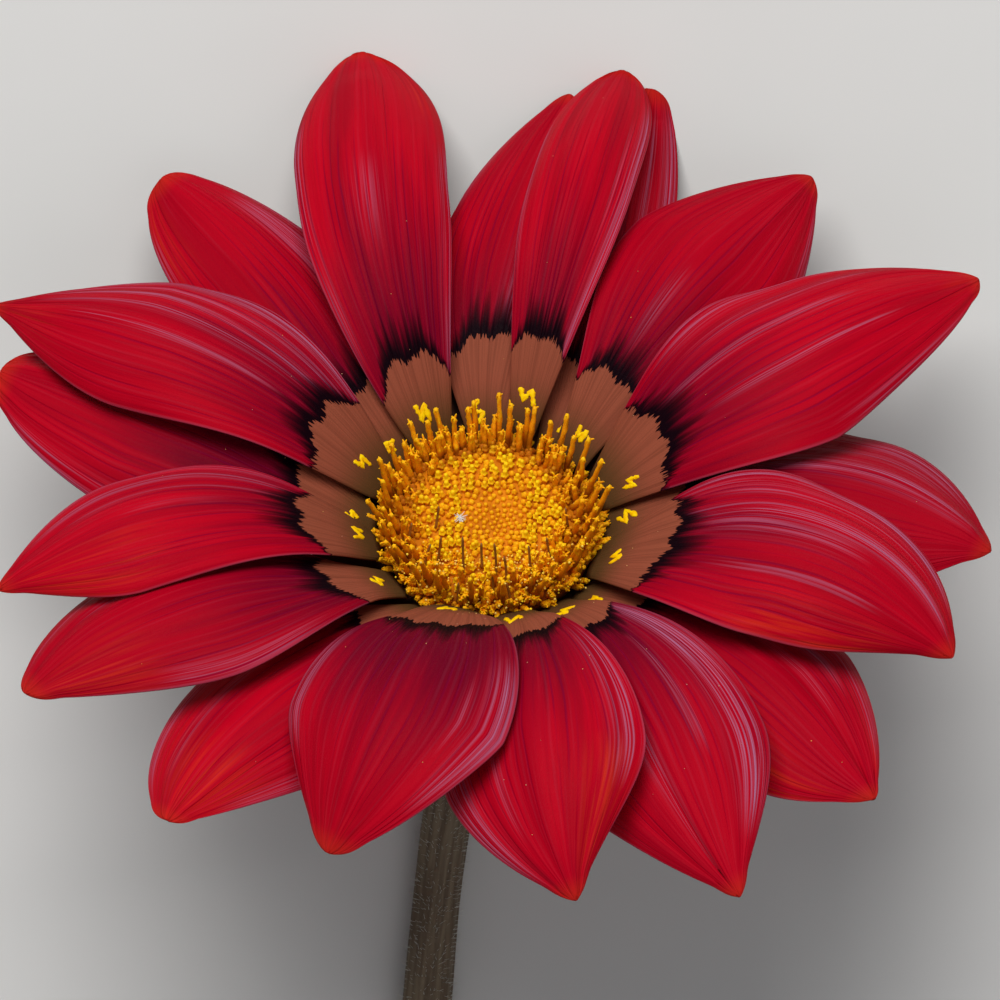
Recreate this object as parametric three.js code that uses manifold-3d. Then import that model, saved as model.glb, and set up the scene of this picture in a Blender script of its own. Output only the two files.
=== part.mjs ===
// Gazania: one picked flower, laid down on a flat surface. Millimetres, +Z up.
//
// The head is built in a frame of its own: its origin is the middle of the disc at the foot of the
// petals, +Z points out of the flower's face, and +Y points to the petals that touch the surface.
// The head is then tipped over about X and set down on two petal tips and the stem.
// The part's origin is on the surface, under the middle of the laid flower.

import * as THREE from 'three';
import { mergeVertices } from 'three/addons/utils/BufferGeometryUtils.js';
import Module from 'manifold-3d';

// ---- driving dimensions ----

const HEAD_TILT = 38;                 // degrees between the flower's axis and the vertical
const HEAD_PLACE = { y: 26.2, z: 24 };  // the head frame's origin, seen from the part's origin

// Petals: a claw at the disc, a funnel-shaped foot, then an arched blade.
const CLAW_RADIUS = 9.8;              // where every petal starts, beside the disc
const CLAW_HEIGHT = 0.65;
const CLAW_SHARE = 0.2;               // the claw's width as a share of the petal's
const FUNNEL_TOP = 6.5;               // height of the petals where the funnel ends
const BLADE_THICKNESS = 0.62;
const TIER_STEP = { claw: 0.75, foot: 1.8, blade: 2.6 };  // how much higher each tier of petals runs
const FOOT_REACH = 0.36;              // share of the span over which the petal leaves its claw straight
const TIP_REACH = 0.34;               // the same at the tip
const ROLL_END = 0.12;                // where along the petal its roll is complete
const CLAW_BEND = 0.1;                // how far the edges turn down at the claw, in radians
const CUP_START = 0.18;               // where along the petal the edges start to turn down further
const CUP_END = 0.6;
const RIB_DEPTH = 0.022;              // depth of the two grooves, as a share of half the width
const RIB_START = 0.15;
const RIB_END = 0.4;
const ROWS = 11;                      // steps along a petal
const COLUMNS = 8;                    // steps across it
const ROW_CROWDING = 1.6;             // above 1 the steps get shorter toward the tip

// Disc: a low dome covered with buds, then open florets, then tall ones that lean out.
const DISC_RADIUS = 9.25;
const DISC_SEAT = -0.7;
const DISC_TOP = 3.7;
const DISC_DIMPLE = 0.25;             // how far the middle of the dome sinks in
const DISC_SHOULDER = 3.0;            // how far it falls away at its rim
const DISC_SIDES = 20;
const DISC_STEPS = 5;
const BUDS = 84;
const BUD_SPREAD = 6.9;               // radius of the round patch that the buds cover
const BUD_RADIUS = 0.45;
const BUD_HEIGHT = 0.75;
const BUD_LEAN = 10;
const BUD_ROOT = 0.35;                // how deep a bud stands in the dome
const FLORET_ROOT = 0.9;
const FLORET_BEND = 0.35;
const GOLDEN_ANGLE = 137.508;
const RIM_ROWS = [
  { count: 20, radius: 7.4, length: 2.4, lean: 12, width: 0.42 },
  { count: 24, radius: 8.15, length: 3.9, lean: 16, width: 0.4 },
  { count: 22, radius: 8.45, length: 4.9, lean: 18, width: 0.4 },
  { count: 26, radius: 8.65, length: 1.5, lean: 15, width: 0.42 },
];

// Involucre: the cup of fused bracts under the head, with three rows of free tips.
const CUP_TOP = -1.0;
const CUP_FOOT = -14.2;
const CUP_SIDES = 22;
const CUP_OUTLINE = [
  { radius: 2.4, height: CUP_FOOT },
  { radius: 3.8, height: -13.2 },
  { radius: 5.6, height: -11.6 },
  { radius: 7.3, height: -9.2 },
  { radius: 8.6, height: -6.4 },
  { radius: 9.4, height: -3.6 },
  { radius: 9.8, height: -1.8 },
  { radius: 9.6, height: CUP_TOP },
];
const BRACT_ROWS = [
  { count: 9, height: -10.2, radius: 6.9, length: 4.4, width: 2.6, lean: 24, turn: 10 },
  { count: 12, height: -6.4, radius: 8.5, length: 5.4, width: 2.9, lean: 20, turn: 0 },
  { count: 14, height: -3.2, radius: 9.4, length: 4.8, width: 2.7, lean: 36, turn: 6 },
];
const BRACT_THICKNESS = 0.9;
const BRACT_INSET = 0.8;              // how deep a bract's foot sits in the cup
const BRACT_OUTLINE = [
  { along: -0.15, width: 1.0, out: 0 },
  { along: 0.35, width: 0.92, out: 0.05 },
  { along: 0.7, width: 0.55, out: 0.14 },
  { along: 1.0, width: 0.12, out: 0.32 },
];

// Stem: leaves the cup along the head's axis, bends down and lies on the surface.
const STEM_RADIUS = 2.15;
const STEM_GAP = 0.3;
const STEM_SIDES = 12;
const STEM_STEPS = 28;
const STEM_FLAT = 0.12;               // how deep the flat that it lies on is cut
const STEM_NECK = 3.5;                // the straight length under the cup
// Where the stem runs after its neck: to the side, back from the neck, and height where it is in the air.
const STEM_ROUTE = [
  { x: -1.6, back: 7.2, z: 5.2 },
  { x: -3.3, back: 13.5, z: 2.75 },
  { x: -4.5, back: 21.5 },
  { x: -5.9, back: 37 },
  { x: -7.0, back: 53 },
  { x: -7.6, back: 69 },
  { x: -7.2, back: 86 },
];

// How a petal's outline runs: how late it widens past its claw, how full a side stays toward the tip,
// and how the tip ends (less is rounder).
const FEET = { wide: 0.8, plain: 1, slim: 1.6 };
const SIDES = { straight: 1.25, curved: 1.9, full: 3 };
const ENDS = { round: 0.45, oval: 0.7, pointed: 1 };

// The petals, clockwise from the upper left as the flower is looked at.
// root, tip: azimuths in degrees, counter-clockwise from +X; reach: radius of the tip;
// width: of the flattened blade; peak: where along it it is widest; foot and end: see above;
// low, high: its clockwise and its other side; cup: how far its edges turn down, in radians;
// rise, droop: slopes at the foot and at the tip; lift: the tip's height over the funnel's top;
// roll: lifts the counter-clockwise edge; tier: what lies over what; hook: turns the tip's direction.
const PETALS = [
  { root: 118, tip: 103, reach: 50, width: 15, peak: 0.65,
    foot: 'wide', low: 'full', high: 'curved', end: 'round',
    cup: 0.72, rise: 46, droop: 22, lift: 0.4, roll: 0, tier: 0.5, hook: -4 },
  { root: 91, tip: 81, reach: 45.5, width: 14, peak: 0.5,
    foot: 'plain', low: 'curved', high: 'curved', end: 'oval',
    cup: 0.65, rise: 41, droop: 14, lift: -0.8, roll: 0, tier: -0.5, hook: -2 },
  { root: 74, tip: 76, reach: 49, width: 10, peak: 0.6,
    foot: 'plain', low: 'full', high: 'full', end: 'round',
    cup: 0.65, rise: 46, droop: 22, lift: -0.7, roll: -1, tier: 0.65, hook: 0 },
  { root: 61, tip: 73, reach: 49, width: 10, peak: 0.6,
    foot: 'plain', low: 'curved', high: 'curved', end: 'round',
    cup: 0.6, rise: 35, droop: 7, lift: -2.4, roll: 0, tier: -1.2, hook: 0 },
  { root: 48, tip: 51, reach: 45, width: 18, peak: 0.6,
    foot: 'slim', low: 'straight', high: 'straight', end: 'oval',
    cup: 0.6, rise: 43, droop: 19, lift: -0.2, roll: 7.5, tier: 0, hook: 0 },
  { root: 21, tip: 28.5, reach: 48.5, width: 19, peak: 0.45,
    foot: 'plain', low: 'straight', high: 'full', end: 'oval',
    cup: 0.66, rise: 46, droop: 21, lift: 0.2, roll: 0, tier: 0.65, hook: 10 },
  { root: 3, tip: 351.5, reach: 43.5, width: 21, peak: 0.65,
    foot: 'plain', low: 'straight', high: 'curved', end: 'pointed',
    cup: 0.6, rise: 40, droop: 13, lift: -0.5, roll: 0, tier: -0.65, hook: -15 },
  { root: 338, tip: 335, reach: 43.5, width: 18.5, peak: 0.45,
    foot: 'plain', low: 'full', high: 'full', end: 'pointed',
    cup: 0.66, rise: 46, droop: 24, lift: 0.2, roll: 0, tier: 0.6, hook: -25 },
  { root: 322, tip: 315, reach: 46, width: 17.5, peak: 0.6,
    foot: 'plain', low: 'full', high: 'straight', end: 'pointed',
    cup: 0.6, rise: 39, droop: 14, lift: -0.9, roll: 0, tier: -1.4, hook: -20 },
  { root: 303, tip: 296, reach: 48, width: 19, peak: 0.6,
    foot: 'slim', low: 'straight', high: 'curved', end: 'pointed',
    cup: 0.6, rise: 42, droop: 19, lift: -0.3, roll: 14, tier: -0.3, hook: 10 },
  { root: 283, tip: 279.5, reach: 44.5, width: 19, peak: 0.6,
    foot: 'slim', low: 'curved', high: 'curved', end: 'pointed',
    cup: 0.5, rise: 44.5, droop: 23, lift: 0.2, roll: 15, tier: 0.8, hook: 20 },
  { root: 255, tip: 251, reach: 41.5, width: 20.5, peak: 0.6,
    foot: 'plain', low: 'curved', high: 'straight', end: 'oval',
    cup: 0.44, rise: 46.5, droop: 26, lift: 0.6, roll: 9.5, tier: 1.45, hook: -10 },
  { root: 238, tip: 232, reach: 44, width: 17, peak: 0.55,
    foot: 'plain', low: 'curved', high: 'straight', end: 'oval',
    cup: 0.6, rise: 39, droop: 13, lift: -1, roll: 0, tier: -1, hook: 15 },
  { root: 216, tip: 209, reach: 45, width: 18, peak: 0.5,
    foot: 'slim', low: 'curved', high: 'curved', end: 'oval',
    cup: 0.6, rise: 43, droop: 19, lift: -0.3, roll: 12, tier: -0.05, hook: 20 },
  { root: 193, tip: 195, reach: 43.5, width: 14, peak: 0.65,
    foot: 'wide', low: 'curved', high: 'curved', end: 'pointed',
    cup: 0.6, rise: 46, droop: 22, lift: 0.4, roll: 5, tier: 0.75, hook: 10 },
  { root: 175, tip: 162, reach: 44.5, width: 18, peak: 0.6,
    foot: 'plain', low: 'curved', high: 'straight', end: 'round',
    cup: 0.6, rise: 40, droop: 14, lift: -0.8, roll: 0, tier: -0.65, hook: 0 },
  { root: 153, tip: 155, reach: 47.5, width: 16.5, peak: 0.6,
    foot: 'wide', low: 'straight', high: 'curved', end: 'pointed',
    cup: 0.7, rise: 46, droop: 22, lift: 0.3, roll: 0, tier: 0.6, hook: 0 },
  { root: 134, tip: 129, reach: 45.5, width: 15.5, peak: 0.55,
    foot: 'plain', low: 'straight', high: 'curved', end: 'round',
    cup: 0.6, rise: 40, droop: 14, lift: -0.6, roll: 0, tier: -0.65, hook: 5 },
];

// ---- small helpers ----

const wasm = await Module();
wasm.setup();
const UP = new THREE.Vector3(0, 0, 1);

function toSolid(geometry) {
  const bare = geometry.clone();
  bare.deleteAttribute('normal');
  bare.deleteAttribute('uv');
  const merged = mergeVertices(bare, 1e-4);
  return new wasm.Manifold(new wasm.Mesh({
    numProp: 3,
    vertProperties: new Float32Array(merged.attributes.position.array),
    triVerts: new Uint32Array(merged.index.array),
  }));
}

function toGeometry(solid) {
  const mesh = solid.getMesh();
  const geometry = new THREE.BufferGeometry();
  geometry.setAttribute('position', new THREE.BufferAttribute(new Float32Array(mesh.vertProperties), 3));
  geometry.setIndex(new THREE.BufferAttribute(new Uint32Array(mesh.triVerts), 1));
  geometry.computeVertexNormals();
  return geometry;
}

function joinAll(geometries) {
  let solids = geometries.map(toSolid);
  while (solids.length > 1) {
    const pairs = [];
    for (let i = 0; i < solids.length; i += 2) {
      pairs.push(i + 1 < solids.length ? solids[i].add(solids[i + 1]) : solids[i]);
    }
    solids = pairs;
  }
  return toGeometry(solids[0]);
}

// Cuts away what reaches below the surface, which leaves a small flat to rest on.
function cutAtSurface(geometry, placing) {
  const ground = new THREE.BoxGeometry(400, 400, 40);
  ground.translate(0, 0, -20);
  ground.applyMatrix4(placing.clone().invert());
  return toGeometry(toSolid(geometry).subtract(toSolid(ground)));
}

function ease(from, to, value) {
  return THREE.MathUtils.smoothstep(value, from, to);
}

function onCircle(azimuth, radius, height) {
  const angle = THREE.MathUtils.degToRad(azimuth);
  return new THREE.Vector3(radius * Math.cos(angle), radius * Math.sin(angle), height);
}

// A repeatable draw between -1 and 1.
function makeDraw(seed) {
  let state = seed;
  return () => {
    state = (state * 1664525 + 1013904223) % 4294967296;
    return state / 2147483648 - 1;
  };
}

function finish(name, geometry, color, roughness) {
  const material = new THREE.MeshStandardMaterial({ color, roughness, metalness: 0 });
  const mesh = new THREE.Mesh(geometry, material);
  mesh.name = name;
  return mesh;
}

// ---- petals ----

// The line that a petal's midrib follows, from its claw to its tip.
function petalSpine(petal) {
  const claw = onCircle(petal.root, CLAW_RADIUS, CLAW_HEIGHT + petal.tier * TIER_STEP.claw);
  const tip = onCircle(petal.tip, petal.reach, FUNNEL_TOP + petal.lift);
  const across = new THREE.Vector3(tip.x - claw.x, tip.y - claw.y, 0);
  const span = across.length();
  const rise = THREE.MathUtils.degToRad(petal.rise);
  const droop = THREE.MathUtils.degToRad(petal.droop);
  const hook = THREE.MathUtils.degToRad(petal.hook);
  const foot = claw.clone().add(onCircle(petal.root, FOOT_REACH * span, 0));
  foot.z += FOOT_REACH * span * Math.tan(rise) + petal.tier * (TIER_STEP.foot - TIER_STEP.claw);
  const back = across.normalize().applyAxisAngle(UP, hook).multiplyScalar(-TIP_REACH * span);
  const shoulder = tip.clone().add(back);
  shoulder.z += TIP_REACH * span * Math.tan(droop) + petal.tier * TIER_STEP.blade;
  return new THREE.CubicBezierCurve3(claw, foot, shoulder, tip);
}

// Width of one side of the flattened petal, from its midrib out. along runs from 0 at the claw to 1.
function sideWidth(petal, along, side) {
  const half = petal.width / 2;
  if (along < petal.peak) {
    const growth = Math.pow(Math.sin((Math.PI / 2) * (along / petal.peak)), FEET[petal.foot]);
    return half * (CLAW_SHARE + (1 - CLAW_SHARE) * growth);
  }
  const toTip = (along - petal.peak) / (1 - petal.peak);
  return half * Math.pow(1 - Math.pow(toTip, SIDES[side]), ENDS[petal.end]);
}

// A point of the petal's middle surface. across runs from -1 to 1, counter-clockwise edge last.
function petalPoint(petal, spine, along, across) {
  const middle = spine.getPoint(along);
  const forward = spine.getTangent(along);
  const side = UP.clone().cross(forward).normalize();
  const roll = THREE.MathUtils.degToRad(petal.roll) * ease(0, ROLL_END, along);
  side.applyAxisAngle(forward, roll);
  const up = forward.clone().cross(side);
  const [low, high] = [sideWidth(petal, along, petal.low), sideWidth(petal, along, petal.high)];
  const half = across > 0 ? high : low;
  const bend = CLAW_BEND + petal.cup * ease(CUP_START, CUP_END, along);
  const depth = RIB_DEPTH * ((low + high) / 2) * ease(RIB_START, RIB_END, along);
  const ribs = depth * Math.cos(2 * Math.PI * across);
  const over = half * Math.sin(bend * across) / bend;
  const rise = half * (Math.cos(bend * across) - 1) / bend + ribs * (1 - across * across);
  return middle.addScaledVector(side, over).addScaledVector(up, rise);
}

function petalNormal(petal, spine, along, across) {
  const step = 0.01;
  const here = THREE.MathUtils.clamp(along, step, 1 - 1.5 * step);
  const ahead = petalPoint(petal, spine, here + step, across);
  ahead.sub(petalPoint(petal, spine, here - step, across));
  const sideways = petalPoint(petal, spine, here, Math.min(across + step, 1));
  sideways.sub(petalPoint(petal, spine, here, Math.max(across - step, -1)));
  return ahead.cross(sideways).normalize();
}

// A closed blade of even thickness: an upper and a lower skin with the same triangles, and a rim.
function petalGeometry(petal) {
  const spine = petalSpine(petal);
  const positions = [];
  const index = [];
  const skin = (COLUMNS + 1) * ROWS + 1;
  for (const face of [1, -1]) {
    for (let row = 0; row <= ROWS; row += 1) {
      const along = 1 - Math.pow(1 - row / ROWS, ROW_CROWDING);
      const columns = row < ROWS ? COLUMNS : 0;
      for (let column = 0; column <= columns; column += 1) {
        const across = columns ? (2 * column) / COLUMNS - 1 : 0;
        const point = petalPoint(petal, spine, along, across);
        point.addScaledVector(petalNormal(petal, spine, along, across), face * BLADE_THICKNESS / 2);
        positions.push(point.x, point.y, point.z);
      }
    }
  }
  const at = (face, row, column) => face * skin + (row < ROWS ? row * (COLUMNS + 1) + column : skin - 1);
  for (let row = 0; row < ROWS; row += 1) {
    for (let column = 0; column < COLUMNS; column += 1) {
      for (const face of [0, 1]) {
        const [a, b] = [at(face, row, column), at(face, row, column + 1)];
        const [c, d] = [at(face, row + 1, column), at(face, row + 1, column + 1)];
        const triangles = row < ROWS - 1 ? [[a, c, b], [b, c, d]] : [[a, c, b]];
        for (const triangle of triangles) {
          index.push(...(face ? triangle.reverse() : triangle));
        }
      }
    }
    index.push(at(0, row, 0), at(1, row, 0), at(0, row + 1, 0));
    index.push(at(1, row, 0), at(1, row + 1, 0), at(0, row + 1, 0));
    index.push(at(0, row, COLUMNS), at(0, row + 1, COLUMNS), at(1, row, COLUMNS));
    index.push(at(1, row, COLUMNS), at(0, row + 1, COLUMNS), at(1, row + 1, COLUMNS));
  }
  for (let column = 0; column < COLUMNS; column += 1) {
    index.push(at(0, 0, column), at(0, 0, column + 1), at(1, 0, column));
    index.push(at(1, 0, column), at(0, 0, column + 1), at(1, 0, column + 1));
  }
  const geometry = new THREE.BufferGeometry();
  geometry.setAttribute('position', new THREE.Float32BufferAttribute(positions, 3));
  geometry.setIndex(index);
  return geometry;
}

// ---- disc ----

// A tapered, slightly bent column of few sides: its radii are given at even steps of its length.
function columnGeometry(foot, direction, length, radii, sides, bendOut = 0) {
  const side = UP.clone().cross(foot).normalize();
  const outward = direction.clone().cross(side).normalize().multiplyScalar(-1);
  const rings = radii.length;
  const positions = [];
  const index = [];
  radii.forEach((radius, ring) => {
    const step = ring / (rings - 1);
    const middle = foot.clone().addScaledVector(direction, length * step);
    middle.addScaledVector(outward, bendOut * step * step);
    for (let corner = 0; corner < sides; corner += 1) {
      const turn = (2 * Math.PI * corner) / sides;
      const point = middle.clone().addScaledVector(side, radius * Math.cos(turn));
      point.addScaledVector(outward, radius * Math.sin(turn));
      positions.push(point.x, point.y, point.z);
    }
  });
  for (let ring = 0; ring < rings - 1; ring += 1) {
    for (let corner = 0; corner < sides; corner += 1) {
      const next = (corner + 1) % sides;
      const [a, b] = [ring * sides + corner, ring * sides + next];
      const [c, d] = [a + sides, b + sides];
      index.push(a, c, b, b, c, d);
    }
  }
  for (let corner = 1; corner < sides - 1; corner += 1) {
    const top = (rings - 1) * sides;
    index.push(0, corner, corner + 1);
    index.push(top, top + corner + 1, top + corner);
  }
  const geometry = new THREE.BufferGeometry();
  geometry.setAttribute('position', new THREE.Float32BufferAttribute(positions, 3));
  geometry.setIndex(index);
  return geometry;
}

function domeHeight(radius) {
  const share = radius / DISC_RADIUS;
  return DISC_TOP - DISC_DIMPLE * Math.pow(1 - share, 2) - DISC_SHOULDER * Math.pow(share, 5);
}

function discCore() {
  const outline = [new THREE.Vector2(0, DISC_SEAT), new THREE.Vector2(DISC_RADIUS - 0.5, DISC_SEAT)];
  for (let step = 0; step <= DISC_STEPS; step += 1) {
    const radius = DISC_RADIUS * (1 - step / DISC_STEPS);
    outline.push(new THREE.Vector2(radius, domeHeight(radius)));
  }
  const core = new THREE.LatheGeometry(outline, DISC_SIDES);
  core.rotateX(Math.PI / 2);
  return core;
}

// Closed buds in the spiral that the golden angle gives, over the middle of the dome.
function discBuds() {
  const buds = [];
  for (let bud = 0; bud < BUDS; bud += 1) {
    const share = Math.sqrt((bud + 0.5) / BUDS);
    const radius = BUD_SPREAD * share;
    const foot = onCircle(bud * GOLDEN_ANGLE, radius, domeHeight(radius) - BUD_ROOT);
    const lean = THREE.MathUtils.degToRad(BUD_LEAN * share);
    const direction = onCircle(bud * GOLDEN_ANGLE, Math.sin(lean), Math.cos(lean));
    const size = BUD_RADIUS * (0.8 + 0.35 * share);
    buds.push(columnGeometry(foot, direction, BUD_HEIGHT + BUD_ROOT, [size, size * 0.55], 5));
  }
  return buds;
}

// Rows of open florets that lean out over the petals' feet, the outermost the tallest.
function rimFlorets() {
  const draw = makeDraw(7);
  const florets = [];
  RIM_ROWS.forEach((row, number) => {
    for (let place = 0; place < row.count; place += 1) {
      const azimuth = ((place + 0.5 * (number % 2) + 0.22 * draw()) * 360) / row.count;
      const foot = onCircle(azimuth, row.radius, domeHeight(row.radius) - FLORET_ROOT);
      const lean = THREE.MathUtils.degToRad(row.lean + 5 * draw());
      const direction = onCircle(azimuth + 8 * draw(), Math.sin(lean), Math.cos(lean));
      const length = row.length * (1 + 0.13 * draw()) + FLORET_ROOT;
      const radii = [row.width * 0.85, row.width, row.width * 0.6];
      florets.push(columnGeometry(foot, direction, length, radii, 4, FLORET_BEND * draw()));
    }
  });
  return florets;
}

function discFlorets() {
  return joinAll([discCore(), ...discBuds(), ...rimFlorets()]);
}

// ---- involucre ----

function cupBody() {
  const outline = CUP_OUTLINE.map(({ radius, height }) => new THREE.Vector2(radius, height));
  outline.unshift(new THREE.Vector2(0, CUP_FOOT));
  outline.push(new THREE.Vector2(0, CUP_TOP));
  const cup = new THREE.LatheGeometry(outline, CUP_SIDES);
  cup.rotateX(Math.PI / 2);
  return cup;
}

// One free tip of a bract: a pointed blade that leaves the cup and bends outwards.
function bractGeometry(row, azimuth) {
  const foot = onCircle(azimuth, row.radius - BRACT_INSET, row.height);
  const lean = THREE.MathUtils.degToRad(row.lean);
  const up = onCircle(azimuth, Math.sin(lean), Math.cos(lean));
  const out = onCircle(azimuth, Math.cos(lean), -Math.sin(lean));
  const side = onCircle(azimuth + 90, 1, 0);
  const positions = [];
  const index = [];
  for (const station of BRACT_OUTLINE) {
    const middle = foot.clone().addScaledVector(up, row.length * station.along);
    middle.addScaledVector(out, row.length * station.out);
    const half = (row.width * station.width) / 2;
    const thick = BRACT_THICKNESS / 2;
    const corners = [[half, -thick], [0, thick * 1.5], [-half, -thick], [0, -thick]];
    for (const [x, y] of corners) {
      const point = middle.clone().addScaledVector(side, x).addScaledVector(out, y);
      positions.push(point.x, point.y, point.z);
    }
  }
  const sides = 4;
  for (let ring = 0; ring < BRACT_OUTLINE.length - 1; ring += 1) {
    for (let corner = 0; corner < sides; corner += 1) {
      const next = (corner + 1) % sides;
      const [a, b] = [ring * sides + corner, ring * sides + next];
      index.push(a, a + sides, b, b, a + sides, b + sides);
    }
  }
  const top = (BRACT_OUTLINE.length - 1) * sides;
  index.push(0, 1, 2, 0, 2, 3, top, top + 2, top + 1, top, top + 3, top + 2);
  const geometry = new THREE.BufferGeometry();
  geometry.setAttribute('position', new THREE.Float32BufferAttribute(positions, 3));
  geometry.setIndex(index);
  return geometry;
}

function involucre() {
  const bracts = [];
  for (const row of BRACT_ROWS) {
    for (let place = 0; place < row.count; place += 1) {
      bracts.push(bractGeometry(row, row.turn + (360 * place) / row.count));
    }
  }
  return joinAll([cupBody(), ...bracts]);
}

// ---- stem ----

function stem(head) {
  const neck = new THREE.Vector3(0, 0, CUP_FOOT - STEM_GAP).applyMatrix4(head.matrix);
  const below = new THREE.Vector3(0, 0, CUP_FOOT - STEM_GAP - STEM_NECK).applyMatrix4(head.matrix);
  const lying = STEM_RADIUS - STEM_FLAT;
  const bends = STEM_ROUTE.map(({ x, back, z = lying }) => new THREE.Vector3(x, neck.y - back, z));
  const route = new THREE.CatmullRomCurve3([neck, below, ...bends], false, 'centripetal');
  const section = new THREE.Shape();
  section.absarc(0, 0, STEM_RADIUS, 0, 2 * Math.PI, false);
  const tube = new THREE.ExtrudeGeometry(section, {
    steps: STEM_STEPS,
    curveSegments: STEM_SIDES / 2,
    extrudePath: route,
    bevelEnabled: false,
  });
  return cutAtSurface(tube, new THREE.Matrix4());
}

// ---- the flower ----

const group = new THREE.Group();
const head = new THREE.Group();
head.position.set(0, HEAD_PLACE.y, HEAD_PLACE.z);
head.rotation.x = THREE.MathUtils.degToRad(-HEAD_TILT);
head.updateMatrix();
group.add(head);

group.add(finish('stem', stem(head), '#5d5145', 0.85));
head.add(finish('involucre', involucre(), '#5f7a3c', 0.7));
head.add(finish('disc_florets', discFlorets(), '#e69a10', 0.75));
PETALS.forEach((petal, number) => {
  const blade = cutAtSurface(petalGeometry(petal), head.matrix);
  const name = `ray_floret_${String(number + 1).padStart(2, '0')}`;
  head.add(finish(name, blade, '#c00a1e', 0.55));
});

export default group;
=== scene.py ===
import math

import bpy
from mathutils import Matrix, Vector
import numpy as np


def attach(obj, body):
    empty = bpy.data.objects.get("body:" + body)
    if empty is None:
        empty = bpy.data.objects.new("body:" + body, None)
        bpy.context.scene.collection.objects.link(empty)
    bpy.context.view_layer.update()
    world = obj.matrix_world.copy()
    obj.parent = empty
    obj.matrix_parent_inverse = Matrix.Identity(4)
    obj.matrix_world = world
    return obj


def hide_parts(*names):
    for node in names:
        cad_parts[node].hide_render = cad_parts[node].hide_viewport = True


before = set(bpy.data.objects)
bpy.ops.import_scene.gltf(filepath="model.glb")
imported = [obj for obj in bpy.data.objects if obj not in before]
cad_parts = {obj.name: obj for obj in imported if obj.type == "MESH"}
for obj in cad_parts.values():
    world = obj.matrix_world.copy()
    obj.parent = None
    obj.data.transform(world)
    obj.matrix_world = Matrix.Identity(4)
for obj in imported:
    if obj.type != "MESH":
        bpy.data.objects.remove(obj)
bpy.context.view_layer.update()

mm = 0.001
up = np.array([0.0, 0.0, 1.0])
print("frame loaded:", len(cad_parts), "solids")

# Everything on the flower head is worked out in millimetres in the head's own frame:
# origin in the middle of the disc, +Z out of the face, +Y to the petals that touch the surface.
headPlace = {"tilt": 38.0, "y": 26.2, "z": 24.0}


def headToRow(points):
    tilt = math.radians(headPlace["tilt"])
    x, y, z = points[..., 0], points[..., 1], points[..., 2]
    rowY = y * math.cos(tilt) + z * math.sin(tilt) + headPlace["y"]
    rowZ = z * math.cos(tilt) - y * math.sin(tilt) + headPlace["z"]
    return np.stack([x, rowY, rowZ], axis=-1)


# Small helpers for shapes. A share runs from 0 to 1; an azimuth is in degrees.
def smooth(low, high, value):
    share = np.clip((value - low) / (high - low), 0.0, 1.0)
    return share * share * (3.0 - 2.0 * share)


def bump(centre, width, value):
    return np.exp(-((value - centre) / width) ** 2)


def unit(vectors):
    return vectors / np.maximum(np.linalg.norm(vectors, axis=-1, keepdims=True), 1e-9)


def onCircle(azimuth, radius, height):
    angle = np.radians(azimuth)
    radius = np.asarray(radius, dtype=float)
    height = np.asarray(height, dtype=float)
    parts = np.broadcast_arrays(radius * np.cos(angle), radius * np.sin(angle), height)
    return np.stack(parts, axis=-1)


def roundTurns(sides):                              # the angles of a ring's points, in radians
    return np.arange(sides) * 2 * math.pi / sides


def makeDraw(seed):                                 # the same draws as the solid florets were placed with
    state = [seed]

    def draw():
        state[0] = (state[0] * 1664525 + 1013904223) % 4294967296
        return state[0] / 2147483648 - 1

    return draw


# A mesh piece from points in row millimetres and a list of index arrays, one array for each face size.
def makePiece(name, points, faceSets, material, values=None, stands=()):
    mesh = bpy.data.meshes.new(name)
    faceSets = [np.asarray(faces) for faces in faceSets if len(faces)]
    corners = np.concatenate([faces.ravel() for faces in faceSets]).astype(np.int32)
    sizes = np.concatenate([np.full(len(faces), faces.shape[1]) for faces in faceSets])
    starts = (np.cumsum(sizes) - sizes).astype(np.int32)
    mesh.vertices.add(len(points))
    mesh.vertices.foreach_set("co", (points * mm).astype(np.float32).ravel())
    mesh.loops.add(len(corners))
    mesh.loops.foreach_set("vertex_index", corners)
    mesh.polygons.add(len(sizes))
    mesh.polygons.foreach_set("loop_start", starts)
    mesh.update(calc_edges=True)
    mesh.shade_smooth()
    for key, data in (values or {}).items():
        layer = mesh.attributes.new(key, "FLOAT", "POINT")
        layer.data.foreach_set("value", np.asarray(data, dtype=np.float32).ravel())
    mesh.materials.append(material)
    piece = bpy.data.objects.new(name, mesh)
    bpy.context.collection.objects.link(piece)
    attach(piece, "root")
    if stands:
        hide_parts(*stands)


# Closed bodies from rings of points: skin is (body, ring, side, 3), and each end is closed with a fan.
def closeTubes(skin):
    count, rings, sides = skin.shape[:3]
    ends = [skin[:, :1].mean(axis=2), skin[:, -1:].mean(axis=2)]
    points = np.concatenate([skin.reshape(count, -1, 3), *ends], axis=1)
    size = rings * sides + 2
    corner = np.arange(sides)
    following = (corner + 1) % sides
    start = np.arange(rings - 1)[:, None] * sides
    here, there = start + corner, start + following
    quads = np.stack([here, there, there + sides, here + sides], axis=-1).reshape(-1, 4)
    last = (rings - 1) * sides
    foot = np.stack([following, corner, np.full(sides, size - 2)], axis=-1)
    top = np.stack([last + corner, last + following, np.full(sides, size - 1)], axis=-1)
    caps = np.concatenate([foot, top])
    shift = (np.arange(count) * size)[:, None, None]
    return points.reshape(-1, 3), [(quads + shift).reshape(-1, 4), (caps + shift).reshape(-1, 3)]


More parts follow.
